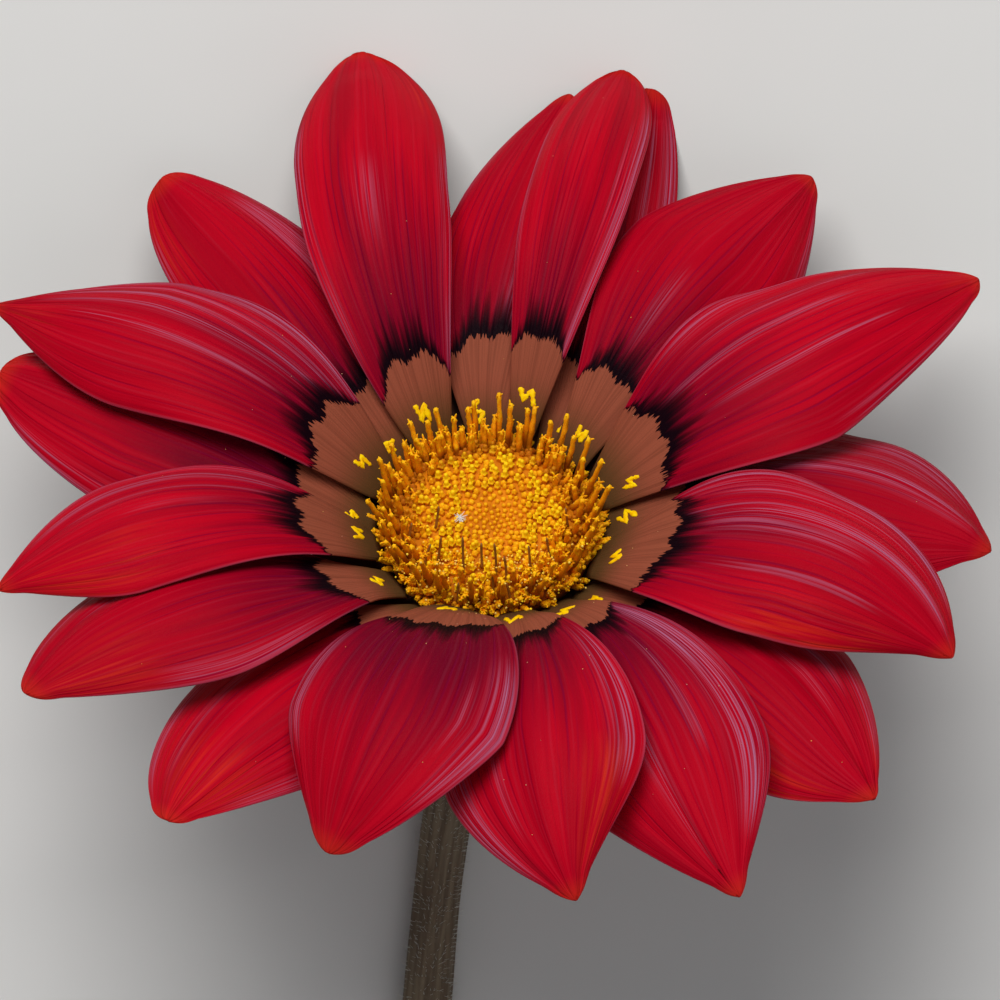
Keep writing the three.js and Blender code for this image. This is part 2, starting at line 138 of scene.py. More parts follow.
# Round tubes along many paths at once: paths (tube, ring, 3), radii (tube, ring) or (tube, ring, side).
def sweepTubes(paths, radii, sides, across):
    if radii.ndim == 2:
        radii = np.repeat(radii[:, :, None], sides, axis=2)
    forward = unit(np.gradient(paths, axis=1))
    side = unit(across[:, None, :] - forward * np.sum(across[:, None, :] * forward, axis=-1, keepdims=True))
    over = np.cross(forward, side)
    turn = roundTurns(sides)
    ring = side[:, :, None, :] * np.cos(turn)[:, None] + over[:, :, None, :] * np.sin(turn)[:, None]
    return closeTubes(paths[:, :, None, :] + ring * radii[..., None])


def perPoint(values, sides):                        # one value a ring, spread over a tube's points
    skin = np.repeat(values, sides, axis=1)
    return np.concatenate([skin, values[:, :1], values[:, -1:]], axis=1).ravel()


# Small helpers for materials. They all add to the one that was started last.
bench = {}


def startMaterial(name, shaderValues):
    material = bpy.data.materials.new(name)
    material.use_nodes = True
    bench["material"] = material
    bench["nodes"] = material.node_tree.nodes
    bench["shader"] = bench["nodes"]["Principled BSDF"]
    for key, value in shaderValues.items():
        bench["shader"].inputs[key].default_value = value


def newNode(kind):
    return bench["nodes"].new("ShaderNode" + kind)


def plug(socket, value):
    if isinstance(value, bpy.types.NodeSocket):
        bench["material"].node_tree.links.new(value, socket)
    else:
        socket.default_value = value


def mathWord(operation):
    def calculate(*values, clamp=False):
        node = newNode("Math")
        node.operation = operation
        node.use_clamp = clamp
        for socket, value in zip(node.inputs, values):
            plug(socket, value)
        return node.outputs[0]

    return calculate


add, subtract, multiply, divide = (mathWord(word) for word in ("ADD", "SUBTRACT", "MULTIPLY", "DIVIDE"))
multiplyAdd, larger, power = (mathWord(word) for word in ("MULTIPLY_ADD", "MAXIMUM", "POWER"))
absolute, zigzag = mathWord("ABSOLUTE"), mathWord("PINGPONG")


def remap(value, low, high, outLow=0.0, outHigh=1.0):
    node = newNode("MapRange")
    node.interpolation_type = "SMOOTHSTEP"
    for socket, data in zip(node.inputs, (value, low, high, outLow, outHigh)):
        plug(socket, data)
    return node.outputs[0]


def blend(factor, first, second):
    node = newNode("Mix")
    node.data_type = "RGBA"
    plug(node.inputs[0], factor)
    for socket, value in ((node.inputs[6], first), (node.inputs[7], second)):       # the color sockets
        plug(socket, value if isinstance(value, bpy.types.NodeSocket) else (*value, 1.0))
    return node.outputs[2]


def reading(name):                                  # a value that the mesh holds for each point
    node = newNode("Attribute")
    node.attribute_name = name
    return node.outputs["Fac"]


def combine(x, y, z):
    node = newNode("CombineXYZ")
    for socket, value in zip(node.inputs, (x, y, z)):
        plug(socket, value)
    return node.outputs[0]


def noise(vector, scale, detail=2.0, roughness=0.5):
    node = newNode("TexNoise")
    plug(node.inputs["Vector"], vector)
    node.inputs["Scale"].default_value = scale
    node.inputs["Detail"].default_value = detail
    node.inputs["Roughness"].default_value = roughness
    return node.outputs["Fac"]


def grainOf(scale, detail=3.0, roughness=0.5):      # noise in the object's own space, scale for each metre
    return noise(newNode("TexCoord").outputs["Object"], scale, detail, roughness)


def mottled(grain):                                 # noise spread out to run from 0 to 1
    return remap(grain, 0.35, 0.65)


# Gives the shader its color and a relief that deep in mm, and hands the material over.
def finishMaterial(color, height=None, depth=0.0, strength=1.0):
    shader = bench["shader"]
    plug(shader.inputs["Base Color"], color)
    if height is not None:
        node = newNode("Bump")
        node.inputs["Strength"].default_value = strength
        node.inputs["Distance"].default_value = depth * mm
        plug(node.inputs["Height"], height)
        plug(shader.inputs["Normal"], node.outputs[0])
    return bench["material"]


# Two shades of one color, mixed by noise.
def plainMaterial(name, first, second, scale, shaderValues=()):
    startMaterial(name, {"Roughness": 0.6, **dict(shaderValues)})
    grain = grainOf(scale)
    return finishMaterial(blend(mottled(grain), first, second), grain, 0.05)


# Petals: eighteen cupped blades that replace the solid ones, with folds, veins, painted sheen and painted
# shade, and the brown eye.
petalForm = {
    "clawRadius": 9.8, "clawHeight": 0.65, "clawShare": 0.2, "funnelTop": 6.5,
    "tierClaw": 0.75, "tierFoot": 1.8, "tierBlade": 2.6,
    "footReach": 0.36, "tipReach": 0.34, "rollEnd": 0.12,
    "clawBend": 0.1, "cupStart": 0.18, "cupEnd": 0.6,
    "ribDepth": 0.022, "ribStart": 0.15, "ribEnd": 0.4,
    "thickness": 0.5, "edgeThickness": 0.16, "thinFrom": 0.5, "restHeight": 0.05,
    "rows": 100, "columns": 52, "rowCrowding": 1.6, "columnCrowding": 0.9,
    "tipStart": 0.94, "tipRounding": 0.15, "sheenNarrowing": 0.9,
}

# How late a petal widens past its claw, how full a side stays toward the tip, and how the tip ends.
petalFeet = {"wide": 0.8, "plain": 1.0, "slim": 1.6}
petalSides = {"straight": 1.25, "curved": 1.9, "full": 3.0}
petalEnds = {"round": 0.45, "oval": 0.7, "pointed": 1.0}

# Clockwise from the upper left as the flower is looked at. root and tip are azimuths, and rise, droop,
# roll and hook are angles, in degrees. reach, width and lift are in mm. peak is where the petal is widest,
# from 0 at the claw to 1. cup is how far the blade bends to each margin, in radians. A petal of a higher
# tier lies over one of a lower.
petalKeys = ("root", "tip", "reach", "width", "peak", "foot", "low", "high", "end",
             "cup", "rise", "droop", "lift", "roll", "tier", "hook")
petalRows = [
    (118, 103, 50, 15, 0.65, "wide", "full", "curved", "round", 0.72, 46, 22, 0.4, 0, 0.5, -4),
    (91, 81, 45.5, 14, 0.5, "plain", "curved", "curved", "oval", 0.65, 41, 14, -0.8, 0, -0.5, -2),
    (74, 76, 49, 10, 0.6, "plain", "full", "full", "round", 0.65, 46, 22, -0.7, -1, 0.65, 0),
    (61, 73, 49, 10, 0.6, "plain", "curved", "curved", "round", 0.6, 35, 7, -2.4, 0, -1.2, 0),
    (48, 51, 45, 18, 0.6, "slim", "straight", "straight", "oval", 0.6, 43, 19, -0.2, 7.5, 0, 0),
    (21, 28.5, 48.5, 19, 0.45, "plain", "straight", "full", "oval", 0.66, 46, 21, 0.2, 0, 0.65, 10),
    (3, 351.5, 43.5, 21, 0.65, "plain", "straight", "curved", "pointed", 0.6, 40, 13, -0.5, 0, -0.65, -15),
    (338, 335, 43.5, 18.5, 0.45, "plain", "full", "full", "pointed", 0.66, 46, 24, 0.2, 0, 0.6, -25),
    (322, 315, 46, 17.5, 0.6, "plain", "full", "straight", "pointed", 0.6, 39, 14, -0.9, 0, -1.4, -20),
    (303, 296, 48, 19, 0.6, "slim", "straight", "curved", "pointed", 0.6, 42, 19, -0.3, 14, -0.3, 10),
    (283, 279.5, 44.5, 19, 0.6, "slim", "curved", "curved", "pointed", 0.5, 44.5, 23, 0.2, 15, 0.8, 20),
    (255, 251, 41.5, 20.5, 0.6, "plain", "curved", "straight", "oval", 0.44, 46.5, 26, 0.6, 9.5, 1.45, -10),
    (238, 232, 44, 17, 0.55, "plain", "curved", "straight", "oval", 0.6, 39, 13, -1, 0, -1, 15),
    (216, 209, 45, 18, 0.5, "slim", "curved", "curved", "oval", 0.6, 43, 19, -0.3, 12, -0.05, 20),
    (193, 195, 43.5, 14, 0.65, "wide", "curved", "curved", "pointed", 0.6, 46, 22, 0.4, 5, 0.75, 10),
    (175, 162, 44.5, 18, 0.6, "plain", "curved", "straight", "round", 0.6, 40, 14, -0.8, 0, -0.65, 0),
    (153, 155, 47.5, 16.5, 0.6, "wide", "straight", "curved", "pointed", 0.7, 46, 22, 0.3, 0, 0.6, 0),
    (134, 129, 45.5, 15.5, 0.55, "plain", "straight", "curved", "round", 0.6, 40, 14, -0.6, 0, -0.65, 5),
]
petalTable = [dict(zip(petalKeys, row), number=number) for number, row in enumerate(petalRows, start=1)]

# Painted sheen on the petals: pale violet bands of sky reflection along margins and crests, by petal
# number: (across, width, from, to, strength).
# across runs from -1 to 1, counter-clockwise edge last; from and to run from claw to tip.
petalPaintedSheen = {
    1: [(0.95, 0.09, 0.2, 0.8, 0.9), (-0.95, 0.1, 0.12, 0.7, 0.9), (0.1, 0.2, 0.4, 0.6, 0.3)],
    2: [(0.95, 0.1, 0.6, 0.95, 0.5), (-0.2, 0.15, 0.2, 0.5, 0.35)],
    3: [(0.95, 0.06, 0.3, 0.8, 0.6), (-0.9, 0.14, 0.12, 0.9, 0.9), (-0.6, 0.05, 0.4, 0.8, 0.5)],
    4: [(-0.8, 0.2, 0.5, 0.97, 0.9), (-0.35, 0.08, 0.5, 0.95, 0.7), (0.0, 0.08, 0.5, 0.9, 0.6)],
    5: [(-0.95, 0.1, 0.7, 0.95, 0.8), (0.1, 0.06, 0.3, 0.5, 0.5)],
    6: [(0.93, 0.12, 0.25, 0.9, 0.9), (0.6, 0.05, 0.3, 0.8, 0.6), (0.3, 0.04, 0.2, 0.7, 0.8),
        (-0.15, 0.04, 0.3, 0.75, 0.7), (-0.93, 0.07, 0.5, 0.95, 0.6)],
    7: [(0.3, 0.1, 0.3, 0.95, 0.95), (0.8, 0.2, 0.6, 0.9, 0.7), (0.55, 0.05, 0.5, 0.85, 0.6)],
    8: [(0.85, 0.14, 0.2, 0.92, 1.0), (0.6, 0.05, 0.3, 0.85, 0.6), (0.3, 0.09, 0.15, 0.97, 0.95),
        (0.1, 0.12, 0.3, 0.7, 0.5), (-0.35, 0.04, 0.35, 0.8, 0.6)],
    9: [(0.55, 0.06, 0.3, 0.7, 0.7), (0.3, 0.05, 0.4, 0.75, 0.5), (0.85, 0.1, 0.6, 0.9, 0.6)],
    10: [(0.8, 0.18, 0.15, 0.88, 1.0), (0.35, 0.04, 0.3, 0.65, 0.8), (-0.12, 0.06, 0.3, 0.98, 0.8)],
    11: [(0.85, 0.14, 0.25, 0.75, 0.8), (-0.85, 0.15, 0.55, 0.95, 0.8), (-0.4, 0.05, 0.6, 0.85, 0.4)],
    12: [(0.9, 0.14, 0.4, 0.85, 0.85), (-0.93, 0.09, 0.3, 0.8, 0.9), (0.6, 0.06, 0.5, 0.7, 0.4)],
    13: [(-0.9, 0.1, 0.4, 0.95, 0.7), (-0.5, 0.05, 0.5, 0.9, 0.5), (0.9, 0.1, 0.5, 0.9, 0.5)],
    14: [(-0.7, 0.06, 0.4, 0.97, 0.8), (0.9, 0.12, 0.3, 0.7, 0.5), (-0.4, 0.05, 0.35, 0.8, 0.4)],
    15: [(-0.9, 0.12, 0.2, 0.97, 0.95), (-0.6, 0.05, 0.2, 0.9, 0.8), (-0.35, 0.04, 0.25, 0.8, 0.6),
         (-0.05, 0.04, 0.4, 0.65, 0.5)],
    16: [(0.93, 0.1, 0.4, 0.95, 0.8), (-0.5, 0.05, 0.7, 0.98, 0.6)],
    17: [(-0.9, 0.16, 0.12, 0.95, 1.0), (-0.62, 0.05, 0.15, 0.9, 0.9), (-0.4, 0.05, 0.2, 0.9, 0.9),
         (-0.2, 0.04, 0.25, 0.9, 0.8), (0.1, 0.04, 0.3, 0.8, 0.7)],
    18: [(-0.6, 0.16, 0.35, 0.85, 0.8), (-0.9, 0.1, 0.4, 0.9, 0.7), (0.95, 0.06, 0.4, 0.9, 0.7)],
}

# Orange flush, in the same terms, and how far maroon runs out from the claw on each petal: the maroon is
# partly the petal's own color and partly painted shade where the foot lies in shadow.
petalFlush = {
    1: [(-0.8, 0.25, 0.82, 0.95, 1.0)],
    6: [(0.0, 0.6, 0.93, 1.0, 0.7)],
    8: [(-0.85, 0.25, 0.4, 0.9, 0.8), (0.8, 0.2, 0.85, 0.98, 0.7)],
    9: [(-0.9, 0.3, 0.55, 0.95, 0.9), (0.9, 0.2, 0.7, 0.95, 0.7)],
    11: [(0.65, 0.2, 0.65, 0.98, 1.0)],
    12: [(0.0, 0.5, 0.95, 1.0, 0.5)],
    13: [(0.2, 0.8, 0.75, 1.0, 0.7)],
    14: [(0.6, 0.4, 0.7, 1.0, 0.7)],
    15: [(0.6, 0.4, 0.6, 1.0, 0.8)],
    17: [(0.3, 0.5, 0.85, 1.0, 0.5)],
    18: [(0.8, 0.2, 0.7, 1.0, 0.6)],
}
petalMaroonAndShade = {1: 0.46, 2: 0.4, 7: 0.5, 10: 0.5, 11: 0.5, 12: 0.7, 14: 0.5, 16: 0.6}
usualMaroonAndShade = 0.4

# Extra lengthwise folds: (across, width, from, to, height in mm).
petalFolds = {
    1: [(0.15, 0.3, 0.3, 0.9, 0.25)],
    7: [(0.3, 0.16, 0.25, 0.98, 0.7)],
    8: [(0.3, 0.14, 0.2, 0.98, 0.45)],
    9: [(0.2, 0.12, 0.4, 0.98, -0.35)],
    10: [(-0.12, 0.08, 0.25, 0.99, -0.45)],
    12: [(0.1, 0.25, 0.3, 0.9, 0.2)],
    17: [(-0.4, 0.15, 0.2, 0.95, 0.25)],
}

# Fine ribs over the blade: (height in mm, count, shift from petal to petal, drift along the petal).
petalRibs = [(0.07, 5, 0.6, 0.0), (0.045, 8, 1.7, 1.5), (0.022, 15, 2.3, -2.0)]
# Slow waves: (height in mm, waves along, waves across, shift from petal to petal).
petalWaves = [(0.16, 5.5, 2.1, 1.3), (0.07, 13.0, -4.0, 2.9)]


# The four control points of the curve that a petal follows from its claw to its tip.
def petalSpine(petal):
    form = petalForm
    clawHeight = form["clawHeight"] + petal["tier"] * form["tierClaw"]
    claw = onCircle(petal["root"], form["clawRadius"], clawHeight)
    tip = onCircle(petal["tip"], petal["reach"], form["funnelTop"] + petal["lift"])
    flat = (tip - claw) * np.array([1.0, 1.0, 0.0])
    span = np.linalg.norm(flat)
    foot = claw + onCircle(petal["root"], form["footReach"] * span, 0.0)
    foot[2] += form["footReach"] * span * math.tan(math.radians(petal["rise"]))
    foot[2] += petal["tier"] * (form["tierFoot"] - form["tierClaw"])
    hook = math.radians(petal["hook"])
    turned = np.array([flat[0] * math.cos(hook) - flat[1] * math.sin(hook),
                       flat[0] * math.sin(hook) + flat[1] * math.cos(hook), 0.0])
    shoulder = tip - turned * form["tipReach"]
    shoulder[2] += form["tipReach"] * span * math.tan(math.radians(petal["droop"]))
    shoulder[2] += petal["tier"] * form["tierBlade"]
    return claw, foot, shoulder, tip


# Width from the midrib to one margin, in mm: to the counter-clockwise one where across is over 0.
def petalHalfWidth(petal, along, across):
    share = petalForm["clawShare"]
    early = np.clip(along / petal["peak"], 0.0, 1.0)
    growing = share + (1 - share) * np.sin(math.pi / 2 * early) ** petalFeet[petal["foot"]]
    toTip = np.clip((along - petal["peak"]) / (1 - petal["peak"]), 0.0, 1.0)
    fullness = np.where(across > 0, petalSides[petal["high"]], petalSides[petal["low"]])
    rounding = 1 - petalForm["tipRounding"] * smooth(petalForm["tipStart"], 1.0, along)
    closing = (1 - toTip ** fullness) ** (petalEnds[petal["end"]] * rounding)
    return petal["width"] / 2 * np.where(along < petal["peak"], growing, closing)


def petalMeanWidth(petal, along):
    return (petalHalfWidth(petal, along, 1.0) + petalHalfWidth(petal, along, -1.0)) / 2


# Height of the folds and ribs over the plain blade, in mm. They fade toward the claw, margins and tip.
def petalRelief(petal, along, across):
    half = petalMeanWidth(petal, along)
    number = petal["number"]
    grown = smooth(0.1, 0.45, along)
    room = np.clip(half / 4.0, 0.0, 1.0) * (1 - across ** 4)
    ribs = 0.0
    for rise, count, shift, drift in petalRibs:
        ribs = ribs + rise * np.cos(count * math.pi * across + shift * number + drift * along)
    height = ribs * room * grown
    for rise, lengthwise, sideways, shift in petalWaves:
        wave = np.sin(lengthwise * along + sideways * across + shift * number)
        height += rise * room * wave * grown
    for at, width, start, end, rise in petalFolds.get(number, []):
        reach = smooth(start, start + 0.25, along) * (1 - smooth(end - 0.05, end + 0.02, along))
        height += rise * bump(at, width, across) * reach * np.clip(half / 3.0, 0.0, 1.0)
    return height


# Points in the middle of the blade's thickness: a cupped cross-section carried along the spine.
def sheetPoint(petal, along, across):
    form = petalForm
    a, b, c, d = petalSpine(petal)
    s = along[..., None]
    middle = a * (1 - s) ** 3 + 3 * b * s * (1 - s) ** 2 + 3 * c * s ** 2 * (1 - s) + d * s ** 3
    forward = unit(3 * (b - a) * (1 - s) ** 2 + 6 * (c - b) * s * (1 - s) + 3 * (d - c) * s ** 2)
    side = unit(np.cross(np.broadcast_to(up, forward.shape), forward))
    roll = (math.radians(petal["roll"]) * smooth(0.0, form["rollEnd"], along))[..., None]
    side = side * np.cos(roll) + np.cross(forward, side) * np.sin(roll)
    above = np.cross(forward, side)
    half = petalHalfWidth(petal, along, across)
    bend = form["clawBend"] + petal["cup"] * smooth(form["cupStart"], form["cupEnd"], along)
    ribs = form["ribDepth"] * petalMeanWidth(petal, along) * np.cos(2 * math.pi * across)
    ribs *= smooth(form["ribStart"], form["ribEnd"], along) * (1 - across ** 2)
    over = half * np.sin(bend * across) / bend
    rise = half * (np.cos(bend * across) - 1) / bend + ribs + petalRelief(petal, along, across)
    return middle + side * over[..., None] + above * rise[..., None]


def sheetNormal(petal, along, across):
    step = 0.006
    here = np.clip(along, step, 1 - 1.5 * step)
    ahead = sheetPoint(petal, here + step, across) - sheetPoint(petal, here - step, across)
    high = sheetPoint(petal, here, np.minimum(across + step, 1))
    low = sheetPoint(petal, here, np.maximum(across - step, -1))
    return unit(np.cross(ahead, high - low))


def petalHalfThickness(along, across):
    form = petalForm
    edge = np.sqrt(np.maximum(1 - across ** 6, 0.0))
    thinning = 1 - smooth(form["thinFrom"], 1.0, along)
    return 0.5 * (form["edgeThickness"] + (form["thickness"] - form["edgeThickness"]) * thinning) * edge


def onPetal(petal, along, across, lift):            # points on the upper skin, lift mm above it
    height = petalHalfThickness(along, across) + lift
    return sheetPoint(petal, along, across) + sheetNormal(petal, along, across) * height[..., None]


def bandSum(bands, along, across, narrowing=1.0):
    total = np.zeros(np.broadcast(along, across).shape)
    for at, width, start, end, strength in bands:
        reach = smooth(start - 0.08, start + 0.08, along) * (1 - smooth(end - 0.1, end + 0.03, along))
        total = np.maximum(total, strength * bump(at, width * narrowing, across) * reach)
    return total


# The faces of a closed blade: both skins share the margins and the tip, and a strip closes the claw.
def petalFaces(rows, columns):
    size = (rows + 1) * (columns + 1)
    grid = np.arange(size).reshape(rows + 1, columns + 1)
    lower = grid + size
    lower[:, 0] = grid[:, 0]
    lower[:, -1] = grid[:, -1]
    grid[-1, :] = grid[-1, 0]
    lower[-1, :] = grid[-1, 0]
    quads, triangles = [], []
    for indices, order in ((grid, 1), (lower, -1)):
        a, b = indices[:-2, :-1], indices[:-2, 1:]
        c, d = indices[1:-1, :-1], indices[1:-1, 1:]
        quads.append(np.stack([a, c, d, b][::order], axis=-1).reshape(-1, 4))
        tip = np.stack([indices[-2, :-1], indices[-1, :-1], indices[-2, 1:]][::order], axis=-1)
        triangles.append(tip)
    closing = np.stack([grid[0, :-1], grid[0, 1:], lower[0, 1:], lower[0, :-1]], axis=-1)
    quads.append(closing[1:-1])
    triangles.append(np.array([[grid[0, 0], grid[0, 1], lower[0, 1]],
                               [grid[0, -2], grid[0, -1], lower[0, -2]]]))
    return [np.concatenate(quads), np.concatenate(triangles)]


# What the petal's material reads at each point of the mesh.
def petalValues(petal, along, s, t, middle):
    number = petal["number"]
    steps = np.linalg.norm(np.diff(sheetPoint(petal, along, np.zeros_like(along)), axis=0), axis=1)
    out = np.concatenate([[0.0], np.cumsum(steps)])[:, None] * np.ones_like(t)
    return {
        "along": s,
        "across": t,
        "side": t * petalHalfWidth(petal, s, t),    # mm from the midrib
        "out": out,                                 # mm from the claw
        "ring": np.hypot(middle[..., 0], middle[..., 1]),       # mm from the flower's axis
        # painted sheen bands, per petal
        "paintedSheen": bandSum(petalPaintedSheen.get(number, []), s, t, petalForm["sheenNarrowing"]),
        "flush": bandSum(petalFlush.get(number, []), s, t),
        # maroon at the foot, partly painted shade
        "maroonAndShade": petalMaroonAndShade.get(number, usualMaroonAndShade) + 0 * s,
        "eye": petalEye.get(number, 0.0) + 0 * s,
        # painted shade for whole petals
        "paintedShade": petalShade.get(number, 0.0) + 0 * s,
        "seed": 7.3 * number + 0 * s,               # gives each petal its own noise
    }


def makePetalMesh(petal, material):
    form = petalForm
    rows, columns = form["rows"], form["columns"]
    crowding = math.pi / 2 * form["columnCrowding"]
    along = 1 - (1 - np.arange(rows + 1) / rows) ** form["rowCrowding"]
    across = np.sin(crowding * np.linspace(-1, 1, columns + 1)) / math.sin(crowding)
    s, t = np.meshgrid(along, across, indexing="ij")
    middle = sheetPoint(petal, s, t)
    half = petalHalfThickness(s, t)
    offset = sheetNormal(petal, s, t) * half[..., None]
    skins = []
    for sign, floor in ((1, form["restHeight"] + half), (-1, 0.0)):     # where a petal lies on the surface
        skin = headToRow(middle + sign * offset)
        skin[..., 2] = np.maximum(skin[..., 2], floor)
        skins.append(skin.reshape(-1, 3))
    points = np.concatenate(skins)
    faces = petalFaces(rows, columns)
    used = np.unique(np.concatenate([part.ravel() for part in faces]))
    newIndex = np.zeros(len(points), dtype=int)
    newIndex[used] = np.arange(len(used))
    values = petalValues(petal, along, s, t, middle)
    values = {key: np.concatenate([data.ravel()] * 2)[used] for key, data in values.items()}
    values["under"] = np.repeat([0.0, 1.0], s.size)[used]
    name = f"ray_floret_{petal['number']:02d}"
    makePiece(f"petal_{petal['number']:02d}", points[used], [newIndex[part] for part in faces],
              material, values, stands=(name,))


# Colors. The maroon at the feet is partly painted shade, the groove color is painted shade in the grooves,
# and the pale violet is painted sheen.
petalColors = {
    "red": (0.455, 0.0, 0.011), "deepRed": (0.29, 0.0, 0.009), "maroonAndShade": (0.075, 0.0, 0.012),
    "groove": (0.15, 0.0, 0.028), "blotch": (0.003, 0.0003, 0.0022), "orange": (0.74, 0.06, 0.003),
    "paintedSheen": (0.38, 0.15, 0.27),
    "eye": (0.27, 0.068, 0.036), "eyeLine": (0.17, 0.042, 0.022), "eyeDark": (0.085, 0.045, 0.014),
    "under": (0.42, 0.05, 0.035), "underStripe": (0.10, 0.035, 0.035),
}
# How strongly each layer of color covers the ones below it, from 0 to 1.
# The sheen and rim layers are painted sheen, the groove layer is painted shade, and the maroon layer is
# partly painted shade.
petalLayers = {
    "deepPatches": 0.7, "deepStreaks": 0.4, "shadedPetal": 0.8, "maroonAndShade": 0.8, "groove": 0.58,
    "flush": 0.45, "tipFlush": 0.3, "orange": 0.7, "sheenHairs": 0.75, "sheenCrests": 0.35,
    "rim": 0.25, "crestSheen": 0.03, "paintedSheen": 0.9, "blotch": 0.99, "eyeLines": 0.6, "midrib": 0.35,
}
# The brown eye and the pattern, in mm; veins and lanes are shares of the petal's half width.
petalPattern = {
    "eyeRadius": 14.7, "eyeArc": 1.5, "lobe": 0.75, "lobeWidth": 1.5, "tooth": 0.5, "toothWidth": 0.3,
    "blotchLength": 4.0, "veinSpacing": 0.047, "laneWidth": 8.5,
}
# Painted shade on whole petals that take less light: how far their red is darkened toward deep red, from 0
# to 1.
petalShade = {2: 0.3, 5: 0.4, 7: 0.8, 9: 0.55, 10: 0.4, 11: 0.15, 12: 0.35, 14: 0.55, 16: 0.2, 17: 0.3,
              18: 0.35}
# How much farther out the brown eye ends on some petals, in mm.
petalEye = {1: -0.9, 2: 0.9, 4: 1.2, 6: -0.7, 8: 0.2, 12: 0.5, 17: -0.3}


def petalMaterial():
    colors, layers, pattern = petalColors, petalLayers, petalPattern
    startMaterial("velvet_petal", {"Roughness": 0.5, "Specular IOR Level": 0.03})
    along, across = reading("along"), reading("across")
    side, out, seed = reading("side"), reading("out"), reading("seed")
    ring, under = reading("ring"), reading("under")
    fromMiddle = absolute(across)
    lane = multiply(across, pattern["laneWidth"])

    def streak(perLane, perOut, detail=2.0, shift=0.0):     # noise drawn out along the petal
        vector = combine(multiply(lane, perLane), multiply(out, perOut), add(seed, shift))
        return noise(vector, 1.0, detail)

    broad = streak(0.45, 0.04)
    fine = streak(2.6, 0.10, 3.0, 3.0)
    patches = streak(1.2, 0.06, 2.0, 11.0)

    # fine veins that run from foot to tip: 0 in each groove, 1 on each crest
    wobble = multiplyAdd(streak(0.3, 0.07, 2.0, 61.0), 0.10, -0.05)
    vein = divide(zigzag(add(across, wobble), pattern["veinSpacing"]), pattern["veinSpacing"])
    groove = multiply(remap(vein, 0.0, 0.34, 1.0, 0.0),
                      remap(streak(0.8, 0.06, 2.0, 71.0), 0.42, 0.62, 0.12, 1.0))
    crest = multiply(remap(vein, 0.58, 0.95), remap(streak(1.1, 0.05, 3.0, 17.0), 0.42, 0.6))
    color = blend(multiply(remap(broad, 0.4, 0.7), layers["deepPatches"]), colors["red"], colors["deepRed"])
    color = blend(multiply(remap(fine, 0.5, 0.7), layers["deepStreaks"]), color, colors["deepRed"])
    # painted shade: whole petals that take less light are darkened toward deep red
    color = blend(multiply(reading("paintedShade"), layers["shadedPetal"]), color, colors["deepRed"])

    # maroon that runs out from the foot in streaks, farthest along the middle: partly the petal's own
    # color, partly painted shade where the foot lies in shadow
    reach = add(reading("maroonAndShade"), multiplyAdd(patches, 0.4, -0.2))
    fallBack = multiply(power(fromMiddle, 2.5), 0.3)
    depth = subtract(subtract(reach, fallBack), along)
    color = blend(multiply(remap(depth, -0.2, 0.34), layers["maroonAndShade"]), color, colors["maroonAndShade"])
    # painted shade in the grooves between the veins, fading toward the tip
    fading = remap(along, 0.45, 0.95, 1.0, 0.12)
    color = blend(multiply(multiply(groove, fading), layers["groove"]), color, colors["groove"])

    # a little orange toward the tip and margins, then the painted sheen, a pale violet sky reflection, in
    # thin broken lines
    flush = multiply(reading("flush"), remap(streak(2.4, 0.09, 3.0, 5.0), 0.4, 0.66))
    tipFlush = multiply(remap(along, 0.94, 1.0), layers["tipFlush"])
    flush = larger(multiply(flush, layers["flush"]), tipFlush)
    color = blend(multiply(flush, layers["orange"]), color, colors["orange"])
    hair = remap(streak(7.0, 0.05, 2.0, 83.0), 0.45, 0.64)
    haze = multiplyAdd(hair, layers["sheenHairs"], multiply(crest, layers["sheenCrests"]))
    paintedSheen = multiply(reading("paintedSheen"), haze)
    # painted sheen along the very margins
    rim = multiply(remap(fromMiddle, 0.955, 1.0), layers["rim"])
    paintedSheen = larger(paintedSheen, rim)
    # faint painted sheen on every crest
    paintedSheen = larger(paintedSheen, multiply(crest, layers["crestSheen"]))
    color = blend(multiply(paintedSheen, layers["paintedSheen"], clamp=True), color, colors["paintedSheen"])

    # the edge of the brown eye: an arc with a lobe for each fold and fine teeth
    wander = multiplyAdd(streak(0.7, 0.02, 2.0, 23.0), 2.0, -1.0)
    lobes = zigzag(add(side, wander), pattern["lobeWidth"])
    jitter = multiply(streak(1.6, 0.05, 2.0, 31.0), 1.8)
    teeth = zigzag(add(side, jitter), pattern["toothWidth"])
    arc = multiplyAdd(power(fromMiddle, 2.0), -pattern["eyeArc"], pattern["eyeRadius"] + pattern["eyeArc"])
    edge = multiplyAdd(lobes, pattern["lobe"] / pattern["lobeWidth"], arc)
    edge = multiplyAdd(teeth, pattern["tooth"] / pattern["toothWidth"], edge)
    edge = add(edge, reading("eye"))
    beyond = subtract(ring, edge)

    # the black blotch beyond the eye, longest along the middle
    inMiddle = remap(fromMiddle, 0.35, 0.92, 1.0, 0.12)
    length = multiply(multiply(inMiddle, pattern["blotchLength"]),
                      remap(streak(1.3, 0.08, 3.0, 41.0), 0.3, 0.7, 0.5, 1.2))
    blotch = subtract(1.0, divide(beyond, add(length, 0.05)))
    blotch = power(remap(blotch, 0.0, 0.85), 0.7)
    color = blend(multiply(blotch, layers["blotch"]), color, colors["blotch"])

